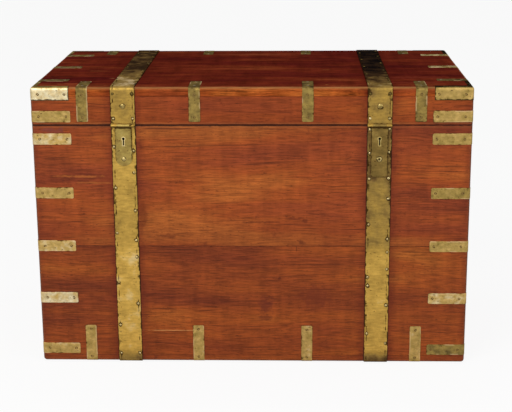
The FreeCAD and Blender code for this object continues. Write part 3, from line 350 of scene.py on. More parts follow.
def board(node, body, low, high, material, seed, housed=False):
    """A worn board: a box on lattice lines that crowd at its own edges and at the brass, with
    eased arrises, drawn back on to the chest's rounded outer form, and rippled inwards.  A
    housed board has its ends rebated for the end boards."""
    rooms = seats[body]
    rebates = ((SIDE - WALL, SIDE - WALL - 0.0001), (BACK - HOUSED, BACK - HOUSED + 0.001), ())
    lines = []
    for axis, (start, end) in enumerate(zip(low, high)):
        ends = np.array([0, 0.0003, 0.0008, 0.0018, 0.003, 0.0045, 0.007])
        near = rooms[:, :, axis].reshape(-1, 1) + np.array([-0.0025, -0.001, 0, 0.001, 0.0025])
        every = [start + ends, end - ends, near.ravel(),
                 np.linspace(start, end, round((end - start) / 0.008) + 2)]
        if housed:
            every += [rebates[axis], -np.array(rebates[axis])]
        every = np.concatenate(every)
        lines.append(np.unique(every[(every >= start) & (every <= end)].round(4)))
    points, faces = lattice(lines)
    shelf = np.where(np.abs(points[:, 0]) > SIDE - WALL - 1e-6, BACK - HOUSED, BACK - WALL)
    if housed:
        points[:, 1] = np.sign(low[1] + high[1]) * np.maximum(np.abs(points[:, 1]), shelf)

    # Dirt against the brass, with painted contact shade, and in the seams, from the distance to
    # each.
    gap = np.maximum(rooms[:, 0] - points[:, None], points[:, None] - rooms[:, 1]).clip(0)
    gap = np.linalg.norm(gap, axis=2)
    is_strap = np.isclose(rooms[:, 1, 0] - rooms[:, 0, 0], STRAP_WIDTH)
    brass_dirt_and_shade = (np.exp(-(gap / 0.0016) ** 2) * np.where(is_strap, 1.0, 0.42)).max(axis=1)
    near_strap = np.exp(-(gap[:, is_strap].min(axis=1) / 0.014) ** 2)
    own_edge = np.minimum(points - np.array(low), np.array(high) - points)
    if housed:
        own_edge[:, 1] = np.minimum(own_edge[:, 1], np.abs(points[:, 1]) - shelf)
    sides = np.sort(own_edge, axis=1)
    near_seam = np.exp(-(sides[:, 1] / 0.0018) ** 2) * (sides[:, 0] < 1e-6)
    x, y, z = np.abs(points[:, 0]), np.abs(points[:, 1]), points[:, 2]
    for level, share in ((LID_INSIDE, 0.25), (SEAM, 0.62), (FLOOR, 0.45)):
        near_seam *= np.where(np.abs(z - level) < 0.004, share, 1)

    # The wood is darker by the joint, the corners and the upper course's foot.  A dark line along
    # the joint, darker but at the right end, is a painted shadow.  Edges are rubbed pale, partly a
    # painted highlight; a pale line either side of the joint is a painted highlight on its arrises.
    from_joint = np.abs(z - JOINT)
    near_joint = fade(from_joint, 0.045, 0.0)
    painted_parting_shadow = fade(from_joint, 0.0032, 0.0012) * np.where(points[:, 0] < 0.22, 1.2, 0.5)
    near_side = fade(np.maximum(SIDE - x, BACK - y), 0.022, 0.0)
    near_course = fade(z, 0.335, 0.275) * (z > SEAM)
    within = ((x < SIDE - WALL + 1e-4) & (y < BACK - WALL + 1e-4) & (z > FLOOR - 1e-4)
              & (z < LID_INSIDE + 1e-4))
    outer = np.array([(-SIDE, SIDE), (FRONT, BACK), (UNDERSIDE, TOP)])
    to_outer = np.sort(np.abs(points[:, :, None] - outer).min(axis=2), axis=1)
    outside = to_outer[:, 0] < 0.0005
    wear_and_highlight = np.exp(-(to_outer[:, 1] / 0.004) ** 2) * np.where(z > TOP - 0.012, 1, 0.2)
    painted_edge_lighting = np.exp(-((from_joint - 0.0038) / 0.0013) ** 2)
    marks = {"grime_and_shade": np.max([brass_dirt_and_shade, 0.95 * near_seam, painted_parting_shadow * outside], axis=0) * ~within,
             "darker_zone": np.max([near_strap, 0.6 * near_joint, 0.85 * near_side, 0.6 * near_course],
                           axis=0) * ~within,
             "wear_and_highlight": np.maximum(wear_and_highlight, 0.26 * painted_edge_lighting * outside), "inside": within}

    points = eased(points, low, high, 0.0008)
    bottom, top = (UNDERSIDE, np.inf) if body == "base" else (-np.inf, TOP)
    points = eased(points, (-SIDE, FRONT, bottom), (SIDE, BACK, top), ARRIS)
    depth = 0.0004 * ripple(points, seed, 0.16)
    points[:, :2] *= 1 - depth[:, None] / np.array([SIDE, BACK])
    return solid(f"{node}_wood", [(points, faces.tolist())], material, body,
                 [node], marks, merged=housed)


# The wax gives the eye a warm red-brown with a soft shine and dark dashes along the grain; the
# lid's top is maroon, partly its own darker colour and partly painted shade for a top lit less
# than the front.  Knots and scars are where a travelled chest would have them.
WARM = ((0.32, "#77331c"), (0.44, "#8f411f"), (0.54, "#9a491e"), (0.66, "#a95b26"))
BROWN = ((0.32, "#753319"), (0.44, "#8a401b"), (0.55, "#96491c"), (0.67, "#a35923"))
MAROON_AND_SHADE = ((0.30, "#511615"), (0.45, "#601f16"), (0.56, "#6f2918"), (0.70, "#8a4023"))
UPPER_STAINS_AND_SHEEN = (
    (0.106, 0.272, 0.008, 0.007, "#43180f"), (0.112, 0.3195, 0.009, 0.005, "#47190f"),
    (0.092, 0.325, 0.022, 0.004, "#5a2212"), (-0.174, 0.2855, 0.034, 0.006, "#54200f"),
    (0.010, 0.3165, 0.060, 0.0025, "#54200f"), (-0.230, 0.330, 0.012, 0.040, "#64290f"),
    (-0.360, 0.416, 0.060, 0.0035, "#b4682c"), (-0.335, 0.402, 0.050, 0.0025, "#a85f2a"),
    # A mauve band under the joint on the left is no stain but a painted sheen on the base's arris.
    (-0.415, 0.515, 0.040, 0.007, "#6e3a36"))
LOWER_STAINS = (
    (0.028, 0.132, 0.020, 0.026, "#54201a"), (0.026, 0.102, 0.019, 0.008, "#5a2416"),
    (0.0945, 0.258, 0.002, 0.008, "#2c100b"), (0.058, 0.192, 0.004, 0.004, "#43180f"),
    (0.135, 0.150, 0.045, 0.030, "#6a2c18"), (-0.169, 0.0726, 0.075, 0.0014, "#d89a5c"))
TOP_STAINS = (
    (-0.339, -0.052, 0.030, 0.0035, "#8f5a30"), (-0.300, -0.147, 0.008, 0.003, "#c08a52"),
    (-0.410, -0.125, 0.045, 0.010, "#2a0c10"), (-0.375, -0.215, 0.040, 0.012, "#9a4a2a"),
    (-0.330, -0.236, 0.030, 0.006, "#2c0e0d"), (0.160, -0.039, 0.010, 0.002, "#c07c42"),
    (0.155, -0.227, 0.006, 0.002, "#d08a4a"), (-0.010, 0.188, 0.150, 0.005, "#8e4c36"),
    (0.060, -0.020, 0.110, 0.007, "#7e3a1c"), (-0.090, -0.185, 0.080, 0.006, "#3a0f0d"),
    (0.385, -0.060, 0.040, 0.006, "#7c3420"), (0.100, 0.080, 0.140, 0.010, "#45100f"),
    (0.350, -0.140, 0.100, 0.014, "#7c3424"), (0.330, -0.205, 0.110, 0.010, "#7a3222"))
front_upper_wood = hardwood("waxed_hardwood_front_upper", 0, (0.3, 0.1, 0.2), WARM, WARM, 0.39,
                            stains_and_sheen=UPPER_STAINS_AND_SHEEN)
front_lower_wood = hardwood("waxed_hardwood_front_lower", 0, (4.1, 2.3, 1.7), BROWN, BROWN, 0.43,
                            stains_and_sheen=LOWER_STAINS)
back_wood = hardwood("waxed_hardwood_back", 0, (7.7, 5.1, 3.3), BROWN, BROWN, 0.38)
end_wood = hardwood("waxed_hardwood_ends", 1, (2.9, 8.3, 6.1), WARM, BROWN, 0.38)
floor_wood = hardwood("hardwood_bottom", 0, (9.3, 1.1, 4.9), BROWN, BROWN, 0.32)
lid_wood = hardwood("waxed_hardwood_lid", 0, (5.5, 3.7, 0.9), WARM, MAROON_AND_SHADE, 0.56, 0.0,
                    TOP_STAINS, across=1, bands=0.75)
rail_wood = hardwood("waxed_hardwood_lid_rails", 0, (6.75, 2.2, 4.4), WARM, MAROON_AND_SHADE, 0.34, 0.09)
rail_end_wood = hardwood("waxed_hardwood_lid_ends", 1, (1.3, 6.6, 2.2), WARM, MAROON_AND_SHADE, 0.38)


def walls(body, low, high, long_name, end_name, woods, seed):
    """Four boards round the chest between two heights, the long ones housed, in the woods for
    the front, the back and the ends; gives the front one."""
    front = board(f"front_{long_name}", body, (-SIDE, FRONT, low), (SIDE, FRONT + WALL, high),
                  woods[0], seed[0], housed=True)
    board(f"back_{long_name}", body, (-SIDE, BACK - WALL, low), (SIDE, BACK, high), woods[1],
          seed[1], housed=True)
    board(f"left_{end_name}", body, (-SIDE, FRONT + HOUSED, low),
          (-SIDE + WALL, BACK - HOUSED, high), woods[2], seed[2])
    board(f"right_{end_name}", body, (SIDE - WALL, FRONT + HOUSED, low),
          (SIDE, BACK - HOUSED, high), woods[2], seed[3])
    return front


walls("base", FLOOR, SEAM, "board_lower", "end_lower", (front_lower_wood, back_wood, end_wood),
      (11, 21, 31, 41))
front_board = walls("base", SEAM, BASE_TOP, "board_upper", "end_upper",
                    (front_upper_wood, back_wood, end_wood), (12, 22, 32, 42))
for place, low, high in (("front", FRONT, 0.0), ("back", 0.0, BACK)):
    board(f"bottom_plank_{place}", "base", (-SIDE, low, UNDERSIDE), (SIDE, high, FLOOR),
          floor_wood, 51)
    board(f"lid_plank_{place}", "lid", (-SIDE, low, LID_INSIDE), (SIDE, high, TOP), lid_wood, 61)
walls("lid", LID_BOTTOM, LID_INSIDE, "lid_rail", "lid_rail",
      (rail_wood, rail_wood, rail_end_wood), (71, 72, 73, 74))

# Mortises for the locks, and the channels in which the hasps' staples lie; where a cut is open
# it goes on past the wood.
CUT_PAST = 0.005
CHANNEL_HALF, CHANNEL_DEPTH, CHANNEL_END = 0.003, 0.011, JOINT - 0.080
CASE_HALF, CASE_LEVELS, CASE_SKIN = 0.016, (JOINT - 0.092, JOINT - 0.012), 0.0008
channels = {sign: ((sign * STRAP_X - CHANNEL_HALF, FRONT - CUT_PAST, CHANNEL_END),
                   (sign * STRAP_X + CHANNEL_HALF, FRONT + CHANNEL_DEPTH, JOINT + 2 * CUT_PAST))
            for sign in SIGNS}
for sign in SIGNS:
    carve(front_board, [((sign * STRAP_X - CASE_HALF, FRONT + CASE_SKIN, CASE_LEVELS[0]),
                         (sign * STRAP_X + CASE_HALF, FRONT + WALL + CUT_PAST, CASE_LEVELS[1])),
                        channels[sign]])

# ---------------------------------------------------------------- brass straps
# Eight straps of rolled sheet brass, cut with shears and bent cold over the chest's edges, then
# nailed.  The front ones turn under the chest; the ends at the joint are rolled round the pins
# of the hinges.  Handled parts are rubbed bright, the rest has gone olive and black; on the
# lid's top the black is partly a painted dark reflection.

HINGE_Y, HINGE_BARREL, HINGE_KNUCKLES, HINGE_END, HINGE_LEAD = 0.2583, 0.004, 5, 0.0043, 0.0055
HASP_Y, HASP_BARREL, HASP_KNUCKLE, HASP_END, HASP_LEAD = -0.2573, 0.003, 0.026, 0.0033, 0.0045
HASP_PIN = 0.00155
KNUCKLE_GAP, NAIL_EDGE, NAIL_DENT, BOSS_RISE, BOSS_DENT = 0.0003, 0.020, 0.0042, 0.040, 0.0064
STRAP_LEGS = {"base_front": (JOINT - HASP_END - UNDERSIDE, STRAP_UNDER),
              "base_back": (JOINT - HINGE_END - UNDERSIDE, STRAP_UNDER),
              "lid_front": (TOP - JOINT - HASP_END, 0.041),
              "lid_top": (TOP - JOINT - HINGE_END, 0.4666)}
# Nails along both edges, in millimetres from the joint or, on the top, from the front.
NAILS = {
    "front_left": {-1: (46, 134, 233, 343, 440, 505), 1: (54, 101, 184, 249, 286, 391, 505)},
    "front_right": {-1: (9, 59, 114, 213, 330, 349, 458),
                    1: (8, 57, 113, 157, 245, 274, 312, 393, 480)},
    "back": {-1: (24, 150, 290, 430), 1: (24, 85, 220, 360, 490)},
    "top": {-1: (52, 150, 250, 352, 452), 1: (52, 100, 200, 300, 400, 480)},
    "lid": {-1: (14, 66), 1: (14, 66)},
}
# Tarnish of each side's straps: at the front's foot, what it gains up to the upper course and
# by the hasp; on the lid's front and top; what the top gains backwards, and from where in y.
# The top's darker tone and its darkening backwards are partly a painted dark reflection.
STRAP_TARNISH_AND_REFLECTION = {-1: (0.20, 0.15, -0.05, 0.42, 0.58, 0.20, -0.19),
                 1: (0.29, 0.25, 0.1, 0.50, 0.66, 0.32, -0.25)}


def brass(name, stops, patch, grit, roughness, drawn=(17, 14, 3.8)):
    """Old sheet brass.  The tarnish mark, clouded by noise in patches of the given millimetres,
    picks the colour from clean metal to black; on the tops it also carries a painted dark
    reflection.  Pits 8 mm wide and 4 mm high are scattered over it, dirt of the given grit,
    with painted shade, eats in where the rim mark is high, and where that mark is below zero the
    edge is rubbed bright, partly a painted highlight.  Drawn is the size of the fine streaks, in
    millimetres."""
    material, tree, shader, place = material_of(name)
    spot = place.outputs["Object"]
    tarnish_and_reflection, rim = (add(tree, "Attribute", (), attribute_name=mark).outputs["Fac"]
                    for mark in ("tarnish_and_reflection", "rim"))
    cloud = add(tree, "TexNoise", {"Vector": spot, "Scale": 1000 / patch, "Detail": 5.0,
                                   "Roughness": 0.62})
    level = add(tree, "Math", (cloud, 0.76, tarnish_and_reflection), operation="MULTIPLY_ADD")
    level = add(tree, "Math", (level, 0.38), operation="SUBTRACT")

    # Rolling and wiping have left soft streaks along the sheet.
    along = add(tree, "Mapping", {"Vector": spot, "Scale": 1000 / np.array(drawn)})
    streak = add(tree, "TexNoise", {"Vector": along, "Scale": 1.0, "Detail": 4.0,
                                    "Roughness": 0.6})
    light = add(tree, "ValToRGB", (streak,), ((0.30, 0.78), (0.70, 1.14)))
    colour = add(tree, "Mix", {0: 1.0, 6: add(tree, "ValToRGB", (level,), stops), 7: light},
                 data_type="RGBA", blend_type="MULTIPLY")

    flat = add(tree, "Mapping", {"Vector": spot, "Scale": (1000 / 8, 1000 / 8, 1000 / 4)})
    pitting = add(tree, "TexNoise", {"Vector": flat, "Scale": 1.0, "Detail": 2.0})
    pit = add(tree, "MapRange", (pitting, 0.66, 0.73, 0.0, 0.75))
    eaten = add(tree, "TexNoise", {"Vector": spot, "Scale": 1000 / grit, "Detail": 3.0,
                                   "Roughness": 0.6})
    # Dirt with painted shade where the rim mark is high; below zero a rubbed edge, partly painted
    # highlight.
    dirt_and_shade = add(tree, "Math", (eaten, 1.9, rim), operation="MULTIPLY_ADD")
    dirt_and_shade_share = add(tree, "MapRange", (dirt_and_shade, 1.28, 1.62, 0.0, 0.92))
    bright = add(tree, "MapRange", (rim, -0.1, -0.9, 0.0, 0.75))
    for share, tint in ((pit, "#4c3517"), (dirt_and_shade_share, "#33210d"), (bright, "#e6c696")):
        colour = add(tree, "Mix", {0: share, 6: colour, 7: tint}, data_type="RGBA")

    bare = add(tree, "MapRange", (level, 0.46, 0.60, 0.88, 0.0))
    clean = add(tree, "MapRange", {0: dirt_and_shade_share, 3: 1.0, 4: 0.1})
    metal = add(tree, "Math", (clean, bare), operation="MULTIPLY")
    rough = add(tree, "MapRange", {0: cloud, 3: roughness - 0.08, 4: roughness + 0.18})
    heights = add(tree, "Math", (eaten, 0.6, cloud), operation="MULTIPLY_ADD")
    bump = add(tree, "Bump", {"Strength": 0.25, "Distance": 0.0008, "Height": heights})
    connect(shader, {"Base Color": colour, "Metallic": metal, "Roughness": rough,
                     "Normal": bump, "Specular IOR Level": 0.0})
    return material


def over_corner(corner, a, b, legs):
    """A path in from one face of the chest, round its edge and in along the next: straight at
    first, then a quarter circle about the point one arris inside both faces, then straight.
    a and b point from the edge along the two faces.  Gives points and outward normals."""
    corner, a, b = (np.array(part, float) for part in (corner, a, b))
    ends = np.array([0, 0.0003, 0.0008, 0.0016, 0.0028])
    runs = [np.unique(np.concatenate([ARRIS + np.linspace(0, leg - ARRIS, int(leg / 0.003) + 2),
                                      leg - ends]).round(5)) for leg in legs]
    turn = np.linspace(0, pi / 2, 9)[1:-1, None]
    arc = -(np.cos(turn) * b + np.sin(turn) * a)
    points = np.concatenate([corner + runs[0][::-1, None] * a,
                             corner + ARRIS * (a + b) + ARRIS * arc,
                             corner + runs[1][:, None] * b])
    normals = np.concatenate([np.tile(-b, (len(runs[0]), 1)), arc, np.tile(-a, (len(runs[1]), 1))])
    return points, normals


def rolled(centre, outward, travel, lead, radius):
    """A path that comes up a face and rolls round a hinge pin: straight for the lead, then nine
    tenths of a circle about the pin.  The normals point at the pin on the round part."""
    centre, outward, travel = (np.array(part, float) for part in (centre, outward, travel))
    straight = np.linspace(-lead, 0, 4)[:-1, None]
    angle = np.linspace(0, 2 * pi * 0.9, 30)[:, None]
    points = np.concatenate([centre - radius * outward + straight * travel,
                             centre + radius * (-np.cos(angle) * outward + np.sin(angle) * travel)])
    normals = np.concatenate([np.tile(outward, (3, 1)),
                              np.cos(angle) * outward - np.sin(angle) * travel])
    return points, normals


def ring_faces(rows, count):
    """The number of each point in rings of points, and the quads that join ring to ring."""
    index = np.arange(rows * count).reshape(rows, count)
    after = np.roll(index, -1, axis=1)
    return index, np.stack([index[:-1], index[1:], after[1:], after[:-1]], -1).reshape(-1, 4)


def strip(path, width, low, high, columns, seed, corner=0.0015, uneven=0.0003, dents=(),
          edge_light_and_shade=None):
    """A strip of sheet: a flat section with eased edges, from low to high along the path's
    normals, is carried along the path.  The section narrows over the last millimetres for the
    rounded end corners and by a slow ripple for the hand-cut edges, and the face dips round
    each nail.  Gives points, faces and how close each point is to the edge or to a nail, for
    dirt and painted shade.  With edge light and shade the edge is rubbed bright in places, partly
    a painted highlight, and a painted shade line of that strength lies behind it."""
    points, normals = path
    travel = np.gradient(points, axis=0)
    across = np.cross(normals[0], travel[0] / np.linalg.norm(travel[0]))
    run = np.concatenate([[0], np.cumsum(np.linalg.norm(np.diff(points, axis=0), axis=1))])
    to_end = np.minimum(run, run[-1] - run)
    drop = corner - np.sqrt(corner ** 2 - (corner - to_end.clip(0, corner)) ** 2)
    ease, dent_depth = 0.0004, 0.0004
    near_edge = width / 2 - np.array([0.001, 0.0018, 0.0026, 0.0035, 0.0044, 0.0056])
    face = np.unique(np.concatenate([np.linspace(-0.5, 0.5, columns) * (width - 2 * ease),
                                     near_edge, -near_edge]).round(6))
    section = np.concatenate([face, np.array([0.5, 0.5, -0.5, -0.5]) * width])
    lift = np.concatenate([np.full(len(face), high), [high - ease, low, low, high - ease]])
    cut = uneven * np.stack([ripple(points, seed, 0.03), ripple(points, seed + 500, 0.03)], 1)
    half = (width / 2 - drop)[:, None] - cut
    place = section / (width / 2) * np.where(section < 0, half[:, :1], half[:, 1:])
    grid = points[:, None] + across * place[..., None] + normals[:, None] * lift[None, :, None]
    if len(dents):
        dents = np.array(dents)
        apart = (np.linalg.norm(grid[:, :, None] - dents[:, :3], axis=3) / dents[:, 3]).min(axis=2)
        dip = dent_depth * np.exp(-apart ** 2) * (lift == high)
        grid = grid - normals[:, None] * dip[..., None]
    index, quads = ring_faces(*place.shape)
    faces = quads.tolist() + [index[0].tolist(), index[-1][::-1].tolist()]

    inset = width / 2 - np.abs(section)
    rim = np.maximum(np.exp(-(inset / 0.0016) ** 2), 0.42 * np.exp(-(inset / 0.006) ** 2))
    patchy = 0.5 + 0.65 * fade(ripple(grid.reshape(-1, 3), seed + 900, 0.05), 0.42, 0.58)
    rim = np.maximum(rim, np.exp(-(to_end / 0.0016) ** 2)[:, None]) * patchy.reshape(place.shape)
    # The edge is rubbed bright in places, partly a painted highlight, with a painted shade line
    # behind.
    if edge_light_and_shade is not None:
        share = fade(ripple(grid.reshape(-1, 3), seed + 300, 0.07), 0.50, 0.60)
        share = share.reshape(place.shape)
        painted_edge_lighting = edge_light_and_shade * np.exp(-((inset - 0.0044) / 0.0013) ** 2) - np.exp(-(inset / 0.0028) ** 4)
        rim = rim * (1 - share) + painted_edge_lighting * share
    # Round each nail the mark is high: dirt, and a painted shadow round the head.
    if len(dents):
        rim = np.maximum(rim, 1.1 * np.exp(-apart ** 4))
    return grid.reshape(-1, 3), faces, rim.ravel()


# Rolled sheet, rubbed by hands and cloths: golden where it is clean, brown to black where not.
strap_brass = brass("rolled_sheet_brass_strap",
                    ((0.0, "#e2c88c"), (0.20, "#d3ab53"), (0.40, "#b59246"), (0.55, "#93773d"),
                     (0.66, "#745a32"), (0.82, "#3c2a1a"), (1.0, "#15100f")), 30, 9, 0.42)

nail_seats = {"base": [], "lid": []}
boss_seats = []


def nail_rows(body, middle, rows, start, travel, outward):
    """Notes the seats of the nails along both edges of a strap, from a start in y and z, and
    gives the dents round them, each as a place and a size."""
    found = [(middle + edge * NAIL_EDGE, *(np.array(start) + spot / 1000 * np.array(travel)),
              *outward) for edge, spots in rows.items() for spot in spots]
    nail_seats[body] += found
    return [(*seat[:3], NAIL_DENT) for seat in found]


for side, sx in SIDES.items():
    middle, out_front, out_back = sx * STRAP_X, FRONT - STRAP_THICK, BACK + STRAP_THICK
    boss = (middle, out_front, JOINT + BOSS_RISE)
    boss_seats.append((*boss, 0, -1, 0))
    dents = {
        "base_front": nail_rows("base", middle, NAILS[f"front_{side}"], (out_front, JOINT),
                                (0, -1), (0, -1, 0)),
        "base_back": nail_rows("base", middle, NAILS["back"], (out_back, JOINT), (0, -1),
                               (0, 1, 0)),
        "lid_top": nail_rows("lid", middle, NAILS["top"], (FRONT, TOP + STRAP_THICK), (1, 0),
                             (0, 0, 1))
        + nail_rows("lid", middle, NAILS["lid"], (out_back, JOINT), (0, 1), (0, 1, 0)),
        "lid_front": nail_rows("lid", middle, NAILS["lid"], (out_front, JOINT), (0, 1),
                               (0, -1, 0)) + [(*boss, BOSS_DENT)],
    }
    corners = {"base_front": ((middle, FRONT, UNDERSIDE), (0, 0, 1), (0, 1, 0)),
               "base_back": ((middle, BACK, UNDERSIDE), (0, 0, 1), (0, -1, 0)),
               "lid_front": ((middle, FRONT, TOP), (0, 0, -1), (0, 1, 0)),
               "lid_top": ((middle, BACK, TOP), (0, 0, -1), (0, -1, 0))}
    pitch = (STRAP_WIDTH + KNUCKLE_GAP) / HINGE_KNUCKLES
    ear = (STRAP_WIDTH - HASP_KNUCKLE) / 2 - KNUCKLE_GAP
    for number, (place, corner) in enumerate(corners.items()):
        shells = [strip(over_corner(*corner, STRAP_LEGS[place]), STRAP_WIDTH, 0, STRAP_THICK, 17,
                        100 + number + 10 * sx, dents=dents[place], edge_light_and_shade=0.74)]
        barrels = []
        if place in ("base_back", "lid_top"):
            barrels = [(middle - STRAP_WIDTH / 2 + knuckle * pitch + (pitch - KNUCKLE_GAP) / 2,
                        HINGE_Y, 1, HINGE_LEAD, HINGE_BARREL, pitch - KNUCKLE_GAP, STRAP_THICK, 1)
                       for knuckle in range(int(place == "lid_top"), HINGE_KNUCKLES, 2)]
        if place == "lid_front":
            barrels = [(middle + edge * (STRAP_WIDTH - ear) / 2, HASP_Y, -1, HASP_LEAD,
                        HASP_BARREL, ear, HASP_BARREL - HASP_PIN, 0.3) for edge in SIGNS]
        for x, y, outward, lead, radius, width, thick, dirt_and_shade in barrels:
            path = rolled((x, y, JOINT), (0, outward, 0), corner[1], lead, radius)
            points, faces, rim = strip(path, width, 0, thick, 5, 7, 0.0002, 0)
            shells.append((points, faces, dirt_and_shade * rim))
        y, z = joined(shells)[:, 1:].T
        foot, rise, high, lid, top, black, start = STRAP_TARNISH_AND_REFLECTION[sx]
        tarnish_and_reflection = {
            "base_front": foot + rise * fade(z, 0.24, 0.28) + high * fade(z, 0.38, 0.41)
            + 0.42 * fade(z, 0.036, 0.008),
            "base_back": np.full(len(z), 0.55),
            "lid_front": lid + (top - lid) * fade(z, TOP - 0.004, TOP + 0.001)
            - 0.08 * (y < HASP_Y + 0.001),
            # The top is darker, more so backwards: partly tarnish, partly a painted dark
            # reflection.
            "lid_top": top + black * fade(y, start, 0.0) - 0.27 * fade(z, TOP - 0.006, TOP - 0.022),
        }[place]
        made = solid(f"{side}_{place}_strap_brass", shells, strap_brass, place.split("_")[0],
                     [f"{side}_{place}_strap"],
                     {"tarnish_and_reflection": tarnish_and_reflection, "rim": joined(shells, 2)})
        if place == "base_front":
            carve(made, [channels[sx]])

# ---------------------------------------------------------------- brass clips and corner caps
# Strips of the same brass, a little thinner, let in to the wood over every corner and edge and
# held by countersunk screws.  The lid's corners have cast three-faced caps.  Each was rubbed and
# tarnished in its own way.

# Thin sheet, seldom touched: pale straw where rubbed, khaki and olive as it has dulled.
clip_brass = brass("sheet_brass_clip",
                   ((0.0, "#e8dab2"), (0.25, "#c6a562"), (0.46, "#a08748"), (0.70, "#6a5832"),
                    (0.92, "#231a11")), 16, 8, 0.45, (11, 11, 6.2))
SCREW_FROM_BEND, LOW_SCREW_FROM_BEND, SCREW_FROM_END = 0.016, 0.011, 0.009
# Tarnish of the front's corner clips from the lowest up, and of the lid's and the edges' clips.
FRONT_TONES = {-1: (0.30, 0.13, 0.24, 0.32, 0.20), 1: (0.56, 0.22, 0.36, 0.44, 0.38)}
LID_CORNER_TONE, LOW_FRONT_TONE, EDGE_TONE = 0.36, 0.33, 0.55
screw_seats = {"base": [], "lid": []}
random = np.random.default_rng(7)


def clip(body, corner, a, b, legs, first, seed):
    """One clip over an edge; its four screws, two on each leg, are noted for later."""
    corner, a, b = (np.array(part, float) for part in (corner, a, b))
    for along, outward, leg in ((a, -b, legs[0]), (b, -a, legs[1])):
        for distance in (first, leg - SCREW_FROM_END):
            place = corner + along * distance + outward * CLIP_PROUD
            screw_seats[body].append((*place, *outward))
    return strip(over_corner(corner, a, b, legs), CLIP_WIDTH, -CLIP_LET_IN, CLIP_PROUD, 7, seed,
                 corner=0.003, uneven=0.0012, edge_light_and_shade=0.0)


def clip_set(name, body, clips, tones):
    """Joins a node's clips in one piece, each with its own tarnish, duller on the top: partly
    tarnish, partly a painted dark reflection.
    """
    tarnish_and_reflection = np.concatenate([tone + 0.16 * fade(points[:, 2], TOP - 0.004, TOP)
                              for (points, _, _), tone in zip(clips, tones)])
    solid(f"{name}_brass", clips, clip_brass, body, [name],
          {"tarnish_and_reflection": tarnish_and_reflection, "rim": joined(clips, 2) * 0.5})


base_clips, lid_clips, tones = [], [], []
for sx in SIGNS:
    for sy in SIGNS:
        a, b = (-sx, 0, 0), (0, -sy, 0)
        for number, level in enumerate(CORNER_CLIP_LEVELS):
            base_clips.append(clip("base", (sx * SIDE, sy * BACK, level), a, b, CORNER_CLIP_LEGS,
                                   SCREW_FROM_BEND, 200 + 10 * number + sx + 3 * sy))
            tones.append(FRONT_TONES[sx][number] if sy < 0 else random.uniform(0.3, 0.6))
        lid_clips.append(clip("lid", (sx * SIDE, sy * BACK, LID_CLIP_LEVEL), a, b,
                              CORNER_CLIP_LEGS, SCREW_FROM_BEND, 260 + sx + 3 * sy))
clip_set("base_corner_clips", "base", base_clips, tones)
clip_set("lid_corner_clips", "lid", lid_clips, [LID_CORNER_TONE] * 4)

for name, body, first in (("base_bottom_clips", "base", LOW_SCREW_FROM_BEND),
                          ("lid_edge_clips", "lid", SCREW_FROM_BEND)):
    legs, edge, up = EDGE_CLIPS[body]
    made, tones = [], []
    for sign in SIGNS:
        for number, x in enumerate(EDGE_CLIP_X):
            made.append(clip(body, (x, sign * BACK, edge), (0, 0, up), (0, -sign, 0), legs, first,
                             300 + number + 10 * sign))
            tones.append(LOW_FRONT_TONE if body == "base" and sign < 0 else EDGE_TONE)
        for number, y in enumerate(EDGE_CLIP_Y):
            made.append(clip(body, (sign * SIDE, y, edge), (0, 0, up), (-sign, 0, 0), legs, first,
                             340 + number + 10 * sign))
            tones.append(random.uniform(0.35, 0.6))
    clip_set(name, body, made, tones)


def cap(sx, sy):
    """A three-faced corner cap.  Its profile goes up the side, round the top arris and in over
    the top, and back along the let-in face.  Each profile point runs along one face, round the
    corner and along the other, at its own distance inside the chest's outline; beyond the
    arris that outline has a sharp corner."""
    turn = np.linspace(0, pi / 2, 9)
    rise = np.linspace(TOP - CAP_HEIGHT, TOP - ARRIS, 6)[:-1]
    reach = np.linspace(ARRIS, CAP_TURNOVER, 4)[1:]
    profile = []
    for proud, order in ((CLIP_PROUD, 1), (-CLIP_LET_IN, -1)):
        inset = [np.full(5, -proud), ARRIS - (ARRIS + proud) * np.cos(turn), reach]
        height = [rise, TOP - ARRIS + (ARRIS + proud) * np.sin(turn), np.full(3, TOP + proud)]
        profile.append(np.stack([np.concatenate(inset), np.concatenate(height)])[:, ::order])
    inset, height = np.concatenate(profile, axis=1)
    centre = np.maximum(ARRIS, inset)
    bend = centre - inset
    part = np.linspace(0, 1, 22)[:, None]
    along_x = SIDE - CAP_LEGS[0] + (CAP_LEGS[0] - centre) * part
    along_y = BACK - centre - (CAP_LEGS[1] - centre) * part
    angle = turn[1:-1, None]
    x = np.concatenate([along_x, SIDE - centre + bend * np.sin(angle),
                        np.tile(SIDE - inset, (len(part), 1))])
    y = np.concatenate([np.tile(BACK - inset, (len(part), 1)),
                        BACK - centre + bend * np.cos(angle), along_y])
    height = np.broadcast_to(height, x.shape)
    index, quads = ring_faces(*x.shape)
    faces = quads[:, [0, 3, 2, 1]].tolist() + [index[0][::-1].tolist(), index[-1].tolist()]
    ends = np.minimum(np.abs(SIDE - CAP_LEGS[0] - x), np.abs(BACK - CAP_LEGS[1] - y))
    rim = np.exp(-(np.minimum(height - (TOP - CAP_HEIGHT), ends) / 0.0018) ** 2)
    return (np.stack([sx * x, sy * y, height], -1).reshape(-1, 3),
            [face[::sx * sy] for face in faces], rim.ravel())


caps, level = [], TOP - 0.55 * CAP_HEIGHT
for sx in SIGNS:
    for sy in SIGNS:
        caps.append(cap(sx, sy))
        for inward in (SCREW_FROM_BEND, CAP_LEGS[0] - SCREW_FROM_END):
            screw_seats["lid"].append((sx * (SIDE - inward), sy * (BACK + CLIP_PROUD), level,
                                       0, sy, 0))
        for inward in (SCREW_FROM_BEND, CAP_LEGS[1] - SCREW_FROM_END):
            screw_seats["lid"].append((sx * (SIDE + CLIP_PROUD), sy * (BACK - inward), level,
                                       sx, 0, 0))
x, _, z = joined(caps).T
